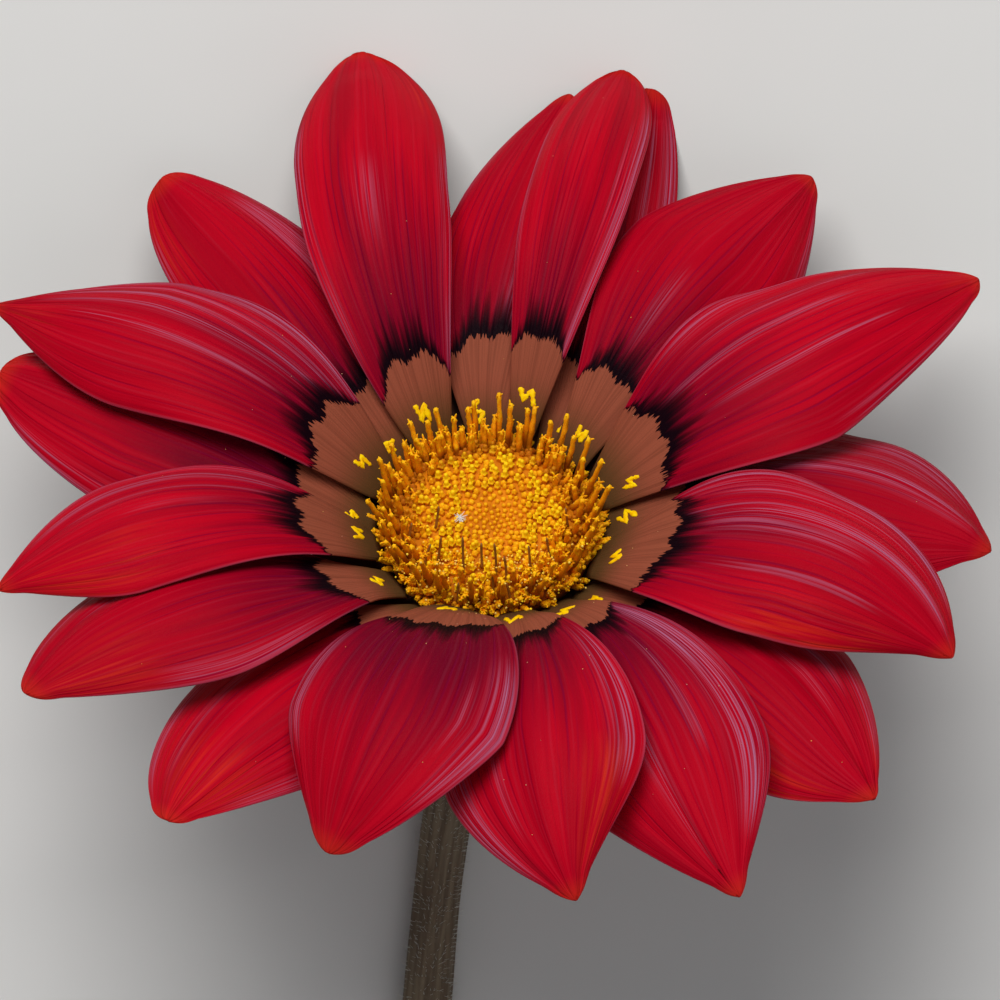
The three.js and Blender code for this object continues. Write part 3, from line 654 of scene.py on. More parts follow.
    # the eye itself: lined, with a dark midrib, and darker toward the disc
    eyeLines = remap(streak(3.2, 0.05, 3.0, 51.0), 0.42, 0.66)
    eye = blend(multiply(eyeLines, layers["eyeLines"]), colors["eye"], colors["eyeLine"])
    eye = blend(remap(fromMiddle, 0.0, 0.10, layers["midrib"], 0.0), eye, colors["eyeLine"])
    eye = blend(remap(ring, 10.6, 14.6, 0.95, 0.0), eye, colors["eyeDark"])
    inEye = remap(beyond, -0.04, 0.05, 1.0, 0.0)
    color = blend(inEye, color, eye)

    # the underside: paler, with a dull stripe along the middle
    stripe = remap(add(fromMiddle, multiplyAdd(fine, 0.3, -0.15)), 0.2, 0.55, 0.9, 0.0)
    below = blend(stripe, blend(fine, colors["under"], colors["red"]), colors["underStripe"])
    color = blend(under, color, below)

    # relief: fine streaks and skin, with the grooves sunk, less so in the eye
    skin = noise(combine(side, out, seed), 9.0, 3.0)
    height = multiplyAdd(fine, 0.6, multiply(skin, 0.3))
    height = multiplyAdd(groove, multiplyAdd(inEye, 0.35, -0.45), height)
    plug(bench["shader"].inputs["Roughness"], remap(skin, 0.3, 0.7, 0.46, 0.64))
    return finishMaterial(color, height, 0.12, 0.8)


petalSkin = petalMaterial()
for petal in petalTable:
    makePetalMesh(petal, petalSkin)
print("petals made:", len(petalTable))

# Yellow marks on the brown eye, one on each petal: a jagged stroke with four corners.
# along and across say where a mark lies, turn is in degrees, lengths are in mm.
markPlan = {
    "stroke": [(-0.62, -0.5), (-0.2, 0.55), (0.16, -0.42), (0.6, 0.58)],
    "section": [(-1, -0.3), (-0.6, 0.8), (0, 1), (0.6, 0.8), (1, -0.3), (0, -0.5)],
    "halfWidth": 0.25, "widthShares": (0.55, 1.35), "endShare": 0.5, "thickness": 0.1, "stations": 22,
    "size": 1.25, "sizeShares": (0.75, 1.1), "cornerSpread": 0.1,
    "along": 0.062, "alongSpread": 0.004, "acrossSpread": 0.22, "turn": 15.0, "turnSpread": 28.0,
    "color": (1.0, 0.68, 0.0), "shade": (0.92, 0.48, 0.0),
}


def markMaterial():
    startMaterial("eye_mark_yellow", {"Roughness": 0.55, "Specular IOR Level": 0.1})
    grain = grainOf(2200.0)
    return finishMaterial(blend(mottled(grain), markPlan["shade"], markPlan["color"]), grain, 0.06)


def makeMarks(material):
    random = np.random.default_rng(41)
    plan = markPlan
    stroke, section = np.array(plan["stroke"]), np.array(plan["section"])
    thinnest, thickest = plan["widthShares"]
    skins = []
    for petal in petalTable:
        along = plan["along"] + random.normal(0, plan["alongSpread"])
        across = random.normal(0, plan["acrossSpread"])
        angle = math.radians(plan["turn"] + random.normal(0, plan["turnSpread"]))
        corners = stroke + random.normal(0, plan["cornerSpread"], stroke.shape)
        corners = corners * plan["size"] * random.uniform(*plan["sizeShares"])
        cosine, sine = math.cos(angle), math.sin(angle)
        corners = corners @ np.array([[cosine, sine], [-sine, cosine]])
        step = np.linspace(0, len(stroke) - 1, plan["stations"])
        line = np.stack([np.interp(step, range(len(stroke)), column) for column in corners.T], axis=-1)
        heading = unit(np.gradient(line, axis=0))
        beside = np.stack([-heading[:, 1], heading[:, 0]], axis=-1)
        half = plan["halfWidth"] * (thinnest + (thickest - thinnest) * random.random(plan["stations"]))
        half[[0, -1]] *= plan["endShare"]
        spot = line[:, None] + beside[:, None] * (section[:, 0] * half[:, None])[..., None]
        here = np.array([along])
        stride = sheetPoint(petal, here + 0.01, here * 0) - sheetPoint(petal, here, here * 0)
        s = along + spot[..., 1] / (np.linalg.norm(stride) / 0.01)      # from mm to shares of the petal
        t = across + spot[..., 0] / petalHalfWidth(petal, here, 1.0)[0]
        lift = plan["thickness"] * section[:, 1] + 0 * t
        skins.append(onPetal(petal, np.clip(s, 0.01, 1), np.clip(t, -0.97, 0.97), lift))
    points, faces = closeTubes(np.stack(skins))
    makePiece("eye_marks", headToRow(points), faces, material)


makeMarks(markMaterial())
print("eye marks made:", len(petalTable))

# Disc: the dome, its buds, the rim florets with their forked tips, dark styles, pollen and a tuft of fluff.
discForm = {
    "radius": 9.25, "seat": -0.7, "top": 3.7, "dimple": 0.25, "shoulder": 3.0,
    "domeSides": 96, "domeRings": 40, "wave": 0.06, "waves": 9,
}
# The brown of the buds out among the tall florets is painted shade, and the foot brown is partly the
# florets' own and partly painted shade.
discColors = {
    "bud": (0.80, 0.30, 0.003), "budTop": (0.90, 0.42, 0.003), "anther": (1.0, 0.68, 0.004),
    "floret": (0.86, 0.25, 0.002), "floretTop": (0.95, 0.36, 0.003), "foot": (0.24, 0.050, 0.002),
    "budShade": (0.36, 0.075, 0.003), "style": (0.20, 0.066, 0.007), "styleTop": (0.27, 0.09, 0.012),
    "dome": (0.66, 0.21, 0.003), "wall": (0.24, 0.055, 0.006), "pollen": (0.90, 0.60, 0.12),
    "dust": (0.62, 0.30, 0.26), "fluff": (0.80, 0.78, 0.74), "fluffTop": (0.9, 0.88, 0.84),
}


def domeHeight(radius):
    form = discForm
    share = radius / form["radius"]
    return form["top"] - form["dimple"] * (1 - share) ** 2 - form["shoulder"] * share ** 5


# Disc florets: foot, middle and top differ in color, and age runs from 0 in the middle to 1 at the rim.
def floretMaterial():
    colors = discColors
    startMaterial("disc_floret", {
        "Roughness": 0.6, "Specular IOR Level": 0.12, "Subsurface Weight": 0.12, "Subsurface Scale": 0.0006,
        "Subsurface Radius": (1.0, 0.4, 0.1)})
    tip, age, seed = reading("tip"), reading("age"), reading("seed")
    grain = grainOf(1800.0, 4.0, 0.6)
    mottle = grainOf(420.0)

    # buds: the open ones show a yellow anther tip, and those out toward the tall florets are browned with
    # painted shade
    bud = blend(remap(tip, 0.45, 0.95), colors["bud"], colors["budTop"])
    anther = multiply(remap(tip, 0.5, 0.62), remap(age, 0.16, 0.28))
    anther = multiply(anther, remap(seed, 0.52, 0.58))
    bud = blend(anther, bud, colors["anther"])

    # tall florets, dusted with yellow, more so at the top
    tall = blend(remap(tip, 0.35, 0.95), colors["floret"], colors["floretTop"])
    tall = blend(remap(grain, 0.5, 0.7, 0.0, 0.6), tall, colors["anther"])
    tall = blend(remap(tip, 0.9, 0.97, 0.0, 0.4), tall, colors["anther"])
    # painted shade among the tall florets' feet
    bud = blend(remap(age, 0.45, 0.54, 0.0, 0.85), bud, colors["budShade"])
    color = blend(remap(age, 0.78, 0.9), bud, tall)

    # dark feet, partly the florets' own brown and partly painted shade down among them, and a little
    # difference from floret to floret
    dark = multiplyAdd(remap(mottle, 0.35, 0.7), 0.25, remap(age, 0.3, 1.0, 0.05, 0.3))
    shade = remap(subtract(tip, dark), -0.1, 0.22, 0.9, 0.0)
    shade = multiply(shade, remap(age, 0.45, 0.7, 0.25, 1.0))
    color = blend(shade, color, colors["foot"])
    color = blend(multiply(remap(seed, 0.0, 1.0), 0.35), color, colors["bud"])
    return finishMaterial(color, grain, 0.08)


def domeMaterial():
    startMaterial("disc_base", {"Roughness": 0.7, "Specular IOR Level": 0.1})
    grain = grainOf(500.0)
    color = blend(remap(grain, 0.35, 0.65, 0.0, 0.35), discColors["dome"], discColors["foot"])
    return finishMaterial(blend(reading("wall"), color, discColors["wall"]), grain, 0.05)


def makeDiscPiece(name, points, faces, material, values):
    makePiece(name, headToRow(points), faces, material, values, stands=("disc_florets",))


def makeDome(material):
    form = discForm
    edge, seat = form["radius"], form["seat"]
    radius = edge * np.linspace(1, 0.01, form["domeRings"])
    wallRadius = np.array([edge - 0.5, edge - 0.25, edge])
    wallHeight = np.array([seat, seat + 0.2, domeHeight(edge) - 0.35])
    radius = np.concatenate([wallRadius, radius])
    height = np.concatenate([wallHeight, domeHeight(radius[3:])])
    turn = np.arange(form["domeSides"]) * 360.0 / form["domeSides"]
    wave = form["wave"] * np.sin(np.radians(turn * form["waves"]))[None, :] * np.sin(radius * 2.4)[:, None]
    skin = onCircle(turn[None, :], radius[:, None], height[:, None] + wave * (height > 1)[:, None])
    points, faces = closeTubes(skin[None])
    wall = smooth(0.88, 0.97, np.hypot(points[:, 0], points[:, 1]) / edge)
    makeDiscPiece("disc_dome", points, faces, material, {"wall": wall})


# What the floret material reads: tip, age and seed, each one value a ring.
def floretValues(tip, age, seed, sides):
    shape = np.broadcast_shapes(np.shape(tip), np.shape(age), np.shape(seed))
    given = {"tip": tip, "age": age, "seed": seed}
    return {key: perPoint(np.broadcast_to(data, shape), sides) for key, data in given.items()}


# Closed buds in the middle, florets with a raised anther tip round them. The profiles give
# (share of the height, share of the width) up a bud; size and height are in mm.
budForm = {
    "count": 640, "spread": 9.1, "crowding": 0.55, "goldenAngle": 137.508, "centre": (0.5, -1.1),
    "root": 0.35, "sides": 10, "lean": 11, "height": 0.36, "openHeight": 0.62, "size": 0.17,
    "ripeSize": 0.10, "roughness": 0.05,
    "lobes": 5, "lobeDepth": 0.13, "lobeShares": (0, 0.4, 1, 1.4, 0.9, 0.5, 0.3, 0.3, 0),
    "closed": [(0, 1), (0.3, 1.05), (0.55, 1.08), (0.7, 1.04), (0.82, 0.9), (0.9, 0.7), (0.95, 0.45),
               (0.985, 0.22), (1, 0.08)],
    "opened": [(0, 0.7), (0.25, 0.8), (0.45, 1.0), (0.58, 1.2), (0.62, 0.8), (0.68, 0.62), (0.86, 0.74),
               (0.96, 0.6), (1, 0.2)],
}


def makeBuds(material):
    form = budForm
    random = np.random.default_rng(5)
    count, sides, spread = form["count"], form["sides"], form["spread"]
    closed, opened = np.array(form["closed"]), np.array(form["opened"])
    number = np.arange(count)
    ripe = spread * ((number + 0.5) / count) ** form["crowding"] + random.normal(0, 0.05, count)
    ripe = np.clip(ripe, 0.15, spread)
    place = onCircle(number * form["goldenAngle"] + random.normal(0, 1.8, count), ripe, 0.0)
    place[:, :2] += np.array(form["centre"]) * (1 - ripe / spread)[:, None]
    radius = np.hypot(place[:, 0], place[:, 1])
    azimuth = np.degrees(np.arctan2(place[:, 1], place[:, 0]))
    raised = random.random(count)                   # the ripest stand highest and show their yellow tips
    isOpen = smooth(2.4, 3.5, ripe + random.normal(0, 0.35, count))
    isOpen = isOpen * (0.25 + 0.75 * smooth(0.45, 0.6, raised))
    lean = np.radians(form["lean"] * radius / spread + random.normal(0, 3, count))
    foot = onCircle(azimuth, radius, domeHeight(radius) - form["root"])
    direction = onCircle(azimuth + random.normal(0, 4, count), np.sin(lean), np.cos(lean))
    height = form["root"] + form["height"]
    height = height + form["openHeight"] * isOpen * (0.7 + 0.5 * random.random(count))
    size = (form["size"] + form["ripeSize"] * smooth(0.5, 4, ripe)) * random.uniform(0.82, 1.15, count)
    mix = isOpen[:, None]
    step = closed[:, 0] * (1 - mix) + opened[:, 0] * mix
    girth = (closed[:, 1] * (1 - mix) + opened[:, 1] * mix) * size[:, None]
    paths = foot[:, None] + direction[:, None] * (height[:, None] * step)[..., None]
    lobes = form["lobeDepth"] * np.cos(form["lobes"] * roundTurns(sides))
    lobes = lobes * np.array(form["lobeShares"])[:, None]
    rough = 1 + form["roughness"] * random.standard_normal((*step.shape, sides))
    points, faces = sweepTubes(paths, girth[..., None] * (1 + lobes) * rough, sides,
                               np.tile([1.0, 0.0, 0.0], (count, 1)))
    front = smooth(-1.5, -6.5, place[:, 1])         # the side away from the tall florets stays golden
    age = (0.7 - 0.17 * front) * ripe / spread
    values = floretValues(step, age[:, None], raised[:, None], sides)
    makeDiscPiece("disc_buds", points, faces, material, values)


# Rim florets: the rows that the solid has, slimmer ones between them, and a skirt of short ones in front
# of the petals' claws. Angles are in degrees, lengths in mm.
rimRows = [
    dict(count=20, radius=7.4, length=2.4, lean=12, width=0.42),
    dict(count=24, radius=8.15, length=3.9, lean=16, width=0.4),
    dict(count=22, radius=8.45, length=4.9, lean=18, width=0.4),
    dict(count=26, radius=8.65, length=1.5, lean=15, width=0.42),
]
floretForm = {
    "root": 0.9, "bend": 0.35, "rings": 14, "sides": 10, "slimming": 0.72, "wiggle": 0.05,
    "girth": [(0, 0.8), (0.5, 0.92), (0.86, 0.66), (0.93, 0.8), (1, 0.5)],
    "lobes": 5, "lobeDepth": 0.16, "roughness": 0.15,
    "extra": 170, "extraWidth": 0.38, "skirt": 190, "skirtRing": (8.3, 9.15), "skirtLean": (30, 62),
    "skirtLength": (0.25, 1.05), "skirtWidth": 0.42, "skirtShade": 0.65,
}
forkForm = {"forks": 3, "rings": 7, "sides": 5, "radius": 0.105, "shortest": 0.22, "longest": 0.72,
            "skirtShare": 0.5}


# Azimuth, radius, lean, heading, length, bend and width of each one. Those of the solid come first and are
# drawn in the solid's order.
def planFlorets():
    form = floretForm
    draw = makeDraw(7)
    plan = []
    for number, row in enumerate(rimRows):
        for place in range(row["count"]):
            azimuth = (place + 0.5 * (number % 2) + 0.22 * draw()) * 360 / row["count"]
            lean = row["lean"] + 5 * draw()
            heading = azimuth + 8 * draw()
            length = row["length"] * (1 + 0.13 * draw())
            bend = form["bend"] * draw()
            plan.append((azimuth, row["radius"], lean, heading, length, bend, row["width"]))
    random = np.random.default_rng(11)
    for _ in range(form["extra"]):
        azimuth = 360 * random.random()
        radius = 6.0 + 2.9 * random.random()
        length = np.interp(radius, [6.0, 7.8, 9.0], [1.1, 2.8, 1.7]) * random.uniform(0.7, 1.15)
        length *= 1 - 0.5 * smooth(0.2, 0.9, -math.sin(math.radians(azimuth)))
        lean = np.interp(radius, [6.0, 9.0], [9, 24]) + 6 * random.standard_normal()
        heading = azimuth + 9 * random.standard_normal()
        bend = 0.3 * random.standard_normal()
        plan.append((azimuth, radius, lean, heading, length, bend, form["extraWidth"]))
    for _ in range(form["skirt"]):
        azimuth = 360 * random.random()
        radius = random.uniform(*form["skirtRing"])
        lean = np.interp(radius, form["skirtRing"], form["skirtLean"]) + 7 * random.standard_normal()
        heading = azimuth + 12 * random.standard_normal()
        length = random.uniform(*form["skirtLength"])
        bend = 0.2 * random.standard_normal()
        plan.append((azimuth, radius, lean, heading, length, bend, form["skirtWidth"]))
    return np.array(plan).T


def makeFlorets(material):
    form = floretForm
    random = np.random.default_rng(13)
    azimuth, radius, lean, heading, length, bend, width = planFlorets()
    count, rings, sides = len(azimuth), form["rings"], form["sides"]
    foot = onCircle(azimuth, radius, domeHeight(radius) - form["root"])
    tilt = np.radians(lean)
    direction = onCircle(heading, np.sin(tilt), np.cos(tilt))
    side = unit(np.cross(up, foot))
    outward = -np.cross(direction, side)
    whole = (length + form["root"])[:, None]
    step = np.linspace(0, 1, rings) ** 0.85
    paths = foot[:, None] + direction[:, None] * (whole * step)[..., None]
    paths = paths + outward[:, None] * (bend[:, None] * step ** 2)[..., None]
    wiggle = form["wiggle"] * np.sin(step * 9 + 6.3 * random.random((count, 1)))
    paths = paths + side[:, None] * (wiggle * step)[..., None]
    girth = np.interp(step, *np.array(form["girth"]).T)
    lobes = form["lobeDepth"] * np.cos(form["lobes"] * roundTurns(sides)) * smooth(0.5, 0.95, step)[:, None]
    rough = form["roughness"] * random.standard_normal((count, rings, sides))
    rough = rough * smooth(0.3, 0.6, step)[:, None]
    radii = (width[:, None] * form["slimming"] * girth)[..., None] * (1 + lobes) * (1 + rough)
    points, faces = sweepTubes(paths, radii, sides, side)
    seed = random.random((count, 1))
    isSkirt = np.arange(count) >= count - form["skirt"]
    shade = np.where(isSkirt, form["skirtShade"], 0.0)[:, None]     # the short ones have no dark foot
    values = floretValues(shade + (1 - shade) * step, 1.0, seed, sides)
    makeDiscPiece("rim_florets", points, faces, material, values)
    makeForks(random, material, paths, direction, side, outward, width, isSkirt, seed)
    return paths[:, -1]


# The curled forks at each floret's tip.
def makeForks(random, material, paths, direction, side, outward, width, isSkirt, seed):
    form = forkForm
    forks, rings, sides = form["forks"], form["rings"], form["sides"]
    count = len(paths) * forks
    angle = 2 * math.pi * (np.arange(forks) / forks + random.random((len(paths), 1)))
    beside = side[:, None] * np.cos(angle)[..., None] + outward[:, None] * np.sin(angle)[..., None]
    beside = beside.reshape(-1, 3)
    axis = np.repeat(direction, forks, axis=0)
    start = np.repeat(paths[:, -2], forks, axis=0) + beside * np.repeat(width * 0.2, forks)[:, None]
    long = form["shortest"] + (form["longest"] - form["shortest"]) * random.random(count) ** 1.5
    long = (long * np.where(np.repeat(isSkirt, forks), form["skirtShare"], 1.0))[:, None, None]
    curl = (0.1 + 0.9 * random.random(count))[:, None, None]
    u = np.linspace(0, 1, rings)[None, :, None]
    rising = axis[:, None] * (u - 0.45 * curl * u ** 3)
    reaching = beside[:, None] * (0.18 * u + 0.55 * curl * u ** 2)
    forkPaths = start[:, None] + long * (rising + reaching)
    taper = form["radius"] * np.interp(u[0, :, 0], [0, 0.7, 1], [1, 0.85, 0.35])
    points, faces = sweepTubes(forkPaths, np.tile(taper, (count, 1)), sides, np.cross(axis, beside))
    values = floretValues(0.75 + 0.25 * u[0, :, 0], 1.0, np.repeat(seed, forks, axis=0), sides)
    makeDiscPiece("floret_tips", points, faces, material, values)


# x and y of each style's foot on the disc, and its length, in mm
stylePlaces = [
    (-2.2, -7.3, 3.9), (-0.6, -6.3, 2.1), (0.6, -6.9, 2.9), (1.5, -7.3, 2.3), (0.4, -8.6, 2.4),
    (-4.4, -5.5, 2.4), (-5.6, -5.7, 2.2), (-4.6, -2.2, 1.9), (3.6, -6.3, 2.2), (5.2, -4.8, 1.8),
    (-2.7, -8.5, 1.9), (1.9, -8.7, 2.0), (4.6, -7.0, 1.6), (-6.9, -3.0, 1.7), (6.8, -1.6, 1.6),
]
styleForm = {"rings": 12, "sides": 8, "radius": 0.12, "foot": 0.4, "stretch": 1.15, "lean": 0.32,
             "inward": 0.10, "leanSpread": 0.07, "sway": 0.16,
             "profile": [(0, 1), (0.75, 0.85), (0.86, 1.15), (1, 0.45)]}


def makeStyles(material):
    form = styleForm
    random = np.random.default_rng(19)
    places = np.array(stylePlaces)
    count, sides = len(places), form["sides"]
    radius = np.hypot(places[:, 0], places[:, 1])
    foot = np.stack([places[:, 0], places[:, 1], domeHeight(radius) + form["foot"]], axis=-1)
    inward = -form["inward"] * places[:, 0] / radius
    lean = np.stack([inward, np.full(count, form["lean"]), np.ones(count)], axis=-1)
    direction = unit(lean + random.normal(0, form["leanSpread"], lean.shape))
    step = np.linspace(0, 1, form["rings"])
    sway = random.normal(0, form["sway"], (count, 1))
    side = unit(np.cross(direction, [0.0, 1.0, 0.0]))
    paths = foot[:, None] + direction[:, None] * (form["stretch"] * places[:, 2:] * step)[..., None]
    paths = paths + side[:, None] * (sway * step ** 2)[..., None]
    taper = form["radius"] * np.interp(step, *np.array(form["profile"]).T)
    points, faces = sweepTubes(paths, np.tile(taper, (count, 1)), sides, side)
    makePiece("styles", headToRow(points), faces, material)


# Small rounded grains at the given points.
def makeGrains(name, places, sizes, material):
    count, rings, sides = len(places), 5, 6
    step = np.linspace(-1, 1, rings) * 0.96
    paths = places[:, None] + (sizes[:, None] * step)[..., None] * up
    radii = sizes[:, None] * np.sqrt(1 - step ** 2)
    points, faces = sweepTubes(paths, radii, sides, np.tile([1.0, 0.0, 0.0], (count, 1)))
    makePiece(name, headToRow(points), faces, material)


# Pollen lies on the front of the disc, and a little dust of it on the petals, most on those in front.
pollenForm = {"onTips": 150, "onDome": 190, "grain": (0.06, 0.13), "dust": (0.02, 0.05), "dustEach": 3,
              "dustFront": 12, "frontPetals": (10, 11, 12), "frontAzimuth": 270, "frontSpread": 34}


def makePollen(tipPlaces):
    form = pollenForm
    random = np.random.default_rng(23)
    front = tipPlaces[tipPlaces[:, 1] < -5.5]
    count = form["onTips"]
    onTips = front[random.integers(0, len(front), count)] + random.normal(0, 0.32, (count, 3)) * [1, 1, 0.5]
    count = form["onDome"]
    azimuth = random.normal(form["frontAzimuth"], form["frontSpread"], count)
    radius = random.uniform(5.5, 9.0, count)
    onDome = onCircle(azimuth, radius, domeHeight(radius) + random.uniform(0.15, 0.9, count))
    grains = np.concatenate([onTips, onDome])
    pale = plainMaterial("pollen", discColors["anther"], discColors["pollen"], 900.0)
    makeGrains("pollen_grains", grains, random.uniform(*form["grain"], len(grains)), pale)
    dust = []
    for petal in petalTable:
        amount = form["dustFront"] if petal["number"] in form["frontPetals"] else form["dustEach"]
        along = np.clip(0.1 + 0.8 * random.random(amount) ** 1.6, 0, 0.9)
        across = random.uniform(-0.8, 0.8, amount)
        dust.append(onPetal(petal, along, across, np.full(amount, 0.03)))
    dust = np.concatenate(dust)
    specks = plainMaterial("pollen_dust", discColors["dust"], discColors["pollen"], 900.0)
    makeGrains("petal_dust", dust, random.uniform(*form["dust"], len(dust)), specks)


fluffForm = {"place": (-2.5, -1.3), "fromMiddle": 2.8, "height": 0.55, "threads": 70, "rings": 8,
             "sides": 4, "length": (0.15, 0.5), "bow": 0.25, "flatness": 0.45, "radius": 0.022}


def makeFluff(material):
    form = fluffForm
    random = np.random.default_rng(29)
    count = form["threads"]
    centre = np.array([*form["place"], domeHeight(form["fromMiddle"]) + form["height"]])
    direction = unit(random.normal(0, 1, (count, 3)) * [1, 1, form["flatness"]])
    step = np.linspace(-0.5, 1, form["rings"])
    length = random.uniform(*form["length"], (count, 1))
    bow = unit(random.normal(0, 1, (count, 3)))
    paths = centre + direction[:, None] * (length * step)[..., None]
    paths = paths + bow[:, None] * (form["bow"] * step ** 2)[:, None]
    radii = np.full((count, form["rings"]), form["radius"])
    points, faces = sweepTubes(paths, radii, form["sides"], np.cross(direction, bow))
    makePiece("fluff", headToRow(points), faces, material)


floretSkin = floretMaterial()
makeDome(domeMaterial())
makeBuds(floretSkin)
floretTops = makeFlorets(floretSkin)
styleSkin = plainMaterial("style_brown", discColors["style"], discColors["styleTop"], 600.0,
                          {"Roughness": 0.45})
makeStyles(styleSkin)
makePollen(floretTops)
makeFluff(plainMaterial("fluff", discColors["fluff"], discColors["fluffTop"], 900.0))
print("disc made")

# Claw shade ring: a near-black sheet of painted shade under the petals' feet that closes the gaps between
# them; its underside has the petals' underside color.
ringForm = {"sides": 144, "rings": 14, "thickness": 0.14, "gap": 0.2, "inner": 8.6, "outer": 15.85,
            "slope": 24.0, "scallops": 18, "scallopDepth": 0.35}
# top and topLine are painted shade; under and underLine are the petals' underside color
ringColors = {"top": (0.050, 0.017, 0.008), "topLine": (0.020, 0.007, 0.004),
              "under": (0.26, 0.045, 0.028), "underLine": (0.11, 0.032, 0.024)}


def ringMaterial():
    colors = ringColors
    startMaterial("claw_shade_ring", {"Roughness": 0.6, "Specular IOR Level": 0.1})
    turn, below = reading("turn"), reading("below")
    lines = noise(combine(turn, multiply(below, 5.0), 0.0), 0.35, 4.0)
    share = remap(lines, 0.38, 0.62)
    color = blend(below, blend(share, colors["top"], colors["topLine"]),
                  blend(share, colors["under"], colors["underLine"]))
    return finishMaterial(color, lines, 0.1)


# Flat on the cup, and from the claws outward a cone; it starts a gap below the lowest claw.
def ringHeight(radius):
    lowestTier = min(petal["tier"] for petal in petalTable)
    lowestClaw = petalForm["clawHeight"] + lowestTier * petalForm["tierClaw"] - petalForm["thickness"] / 2
    beyond = np.maximum(radius - petalForm["clawRadius"], 0.0)
    return lowestClaw - ringForm["gap"] + beyond * math.tan(math.radians(ringForm["slope"]))


def makeClawShadeRing(material):
    form = ringForm
    turn = np.arange(form["sides"]) * 360.0 / form["sides"]
    outer = form["outer"] + form["scallopDepth"] * np.cos(np.radians(turn * form["scallops"]))
    share = np.linspace(0, 1, form["rings"])[:, None]
    radius = form["inner"] + (outer - form["inner"]) * share
    height = ringHeight(radius)
    top = onCircle(turn[None], radius, height)
    below = onCircle(turn[None], radius, height - form["thickness"])[::-1]
    points, faces = closeTubes(np.concatenate([top, below])[None])
    sheets = np.repeat([0.0, 1.0], form["rings"] * form["sides"])
    turns = np.tile(turn, 2 * form["rings"])
    values = {"below": np.append(sheets, [0, 1]), "turn": np.append(turns, [0, 0])}
    makePiece("claw_shade_ring", headToRow(points), faces, material, values)


makeClawShadeRing(ringMaterial())
print("claw ring made")

# Involucre: the green cup with its rows of free bract tips. The outline gives (radius, height) in mm.
cupForm = {
    "sides": 110, "rings": 60, "ridges": 11, "ridge": 0.12,
    "outline": [(2.4, -14.2), (3.8, -13.2), (5.6, -11.6), (7.3, -9.2), (8.6, -6.4), (9.4, -3.6),
                (9.8, -1.8), (9.6, -1.0)],
}
bractRows = [
    dict(count=9, height=-10.2, radius=6.9, length=4.4, width=2.6, lean=24, turn=10),
    dict(count=12, height=-6.4, radius=8.5, length=5.4, width=2.9, lean=20, turn=0),
    dict(count=14, height=-3.2, radius=9.4, length=4.8, width=2.7, lean=36, turn=6),
]
# The bract's outline gives (share of the length, share of the width, how far it bows outward).
bractForm = {
    "thickness": 0.9, "inset": 0.8, "rings": 20, "columns": 9, "taper": 0.45,
    "outline": [(-0.15, 1.0, 0), (0.35, 0.92, 0.05), (0.7, 0.55, 0.14), (1.0, 0.12, 0.32)],
    "hairs": 13, "hairsFrom": 0.15, "hairsTo": 0.95, "hairLength": 0.45,
}
# rim is the dark top of the cup: partly the receptacle's brown, partly painted shade under the claws
greens = {"cup": (0.115, 0.19, 0.045), "cupDark": (0.05, 0.085, 0.024), "edge": (0.20, 0.07, 0.07),
          "rim": (0.035, 0.022, 0.010), "hair": (0.62, 0.62, 0.56), "hairTop": (0.75, 0.74, 0.68)}


def bractMaterial():
    startMaterial("bract_green", {"Roughness": 0.55, "Specular IOR Level": 0.35})
    edge, tip = reading("edge"), reading("tip")
    mottle = grainOf(260.0, 4.0)
    grain = grainOf(1500.0)
    color = blend(mottled(mottle), greens["cupDark"], greens["cup"])
    purple = larger(remap(edge, 0.75, 1.0), remap(tip, 0.7, 1.0))
    color = blend(multiply(purple, 0.8), color, greens["edge"])
    # a near-black band at the cup's top: partly the receptacle's brown, partly painted shade under the
    # petals' claws
    color = blend(reading("rim"), color, greens["rim"])
    return finishMaterial(color, grain, 0.08)


def makeCupPiece(name, points, faces, material, values):
    makePiece(name, headToRow(points), faces, material, values, stands=("involucre",))


def makeCup(material):
    form = cupForm
    outline = np.array(form["outline"])
    step = np.linspace(0, len(outline) - 1, form["rings"])
    radius, height = (np.interp(step, range(len(outline)), column) for column in outline.T)
    turn = np.arange(form["sides"]) * 360.0 / form["sides"]
    ridge = form["ridge"] * np.cos(np.radians(turn * form["ridges"]))[None, :]
    ridge = ridge * smooth(2.4, 6, radius)[:, None] * smooth(-0.9, -3.0, height)[:, None]
    points, faces = closeTubes(onCircle(turn[None], radius[:, None] + ridge, height[:, None])[None])
    zero = np.zeros(len(points))
    # the top band of the cup, darkened partly as painted shade under the claws
    values = {"edge": zero, "tip": zero, "rim": smooth(-2.6, -1.2, points[:, 2])}
    makeCupPiece("involucre_cup", points, faces, material, values)


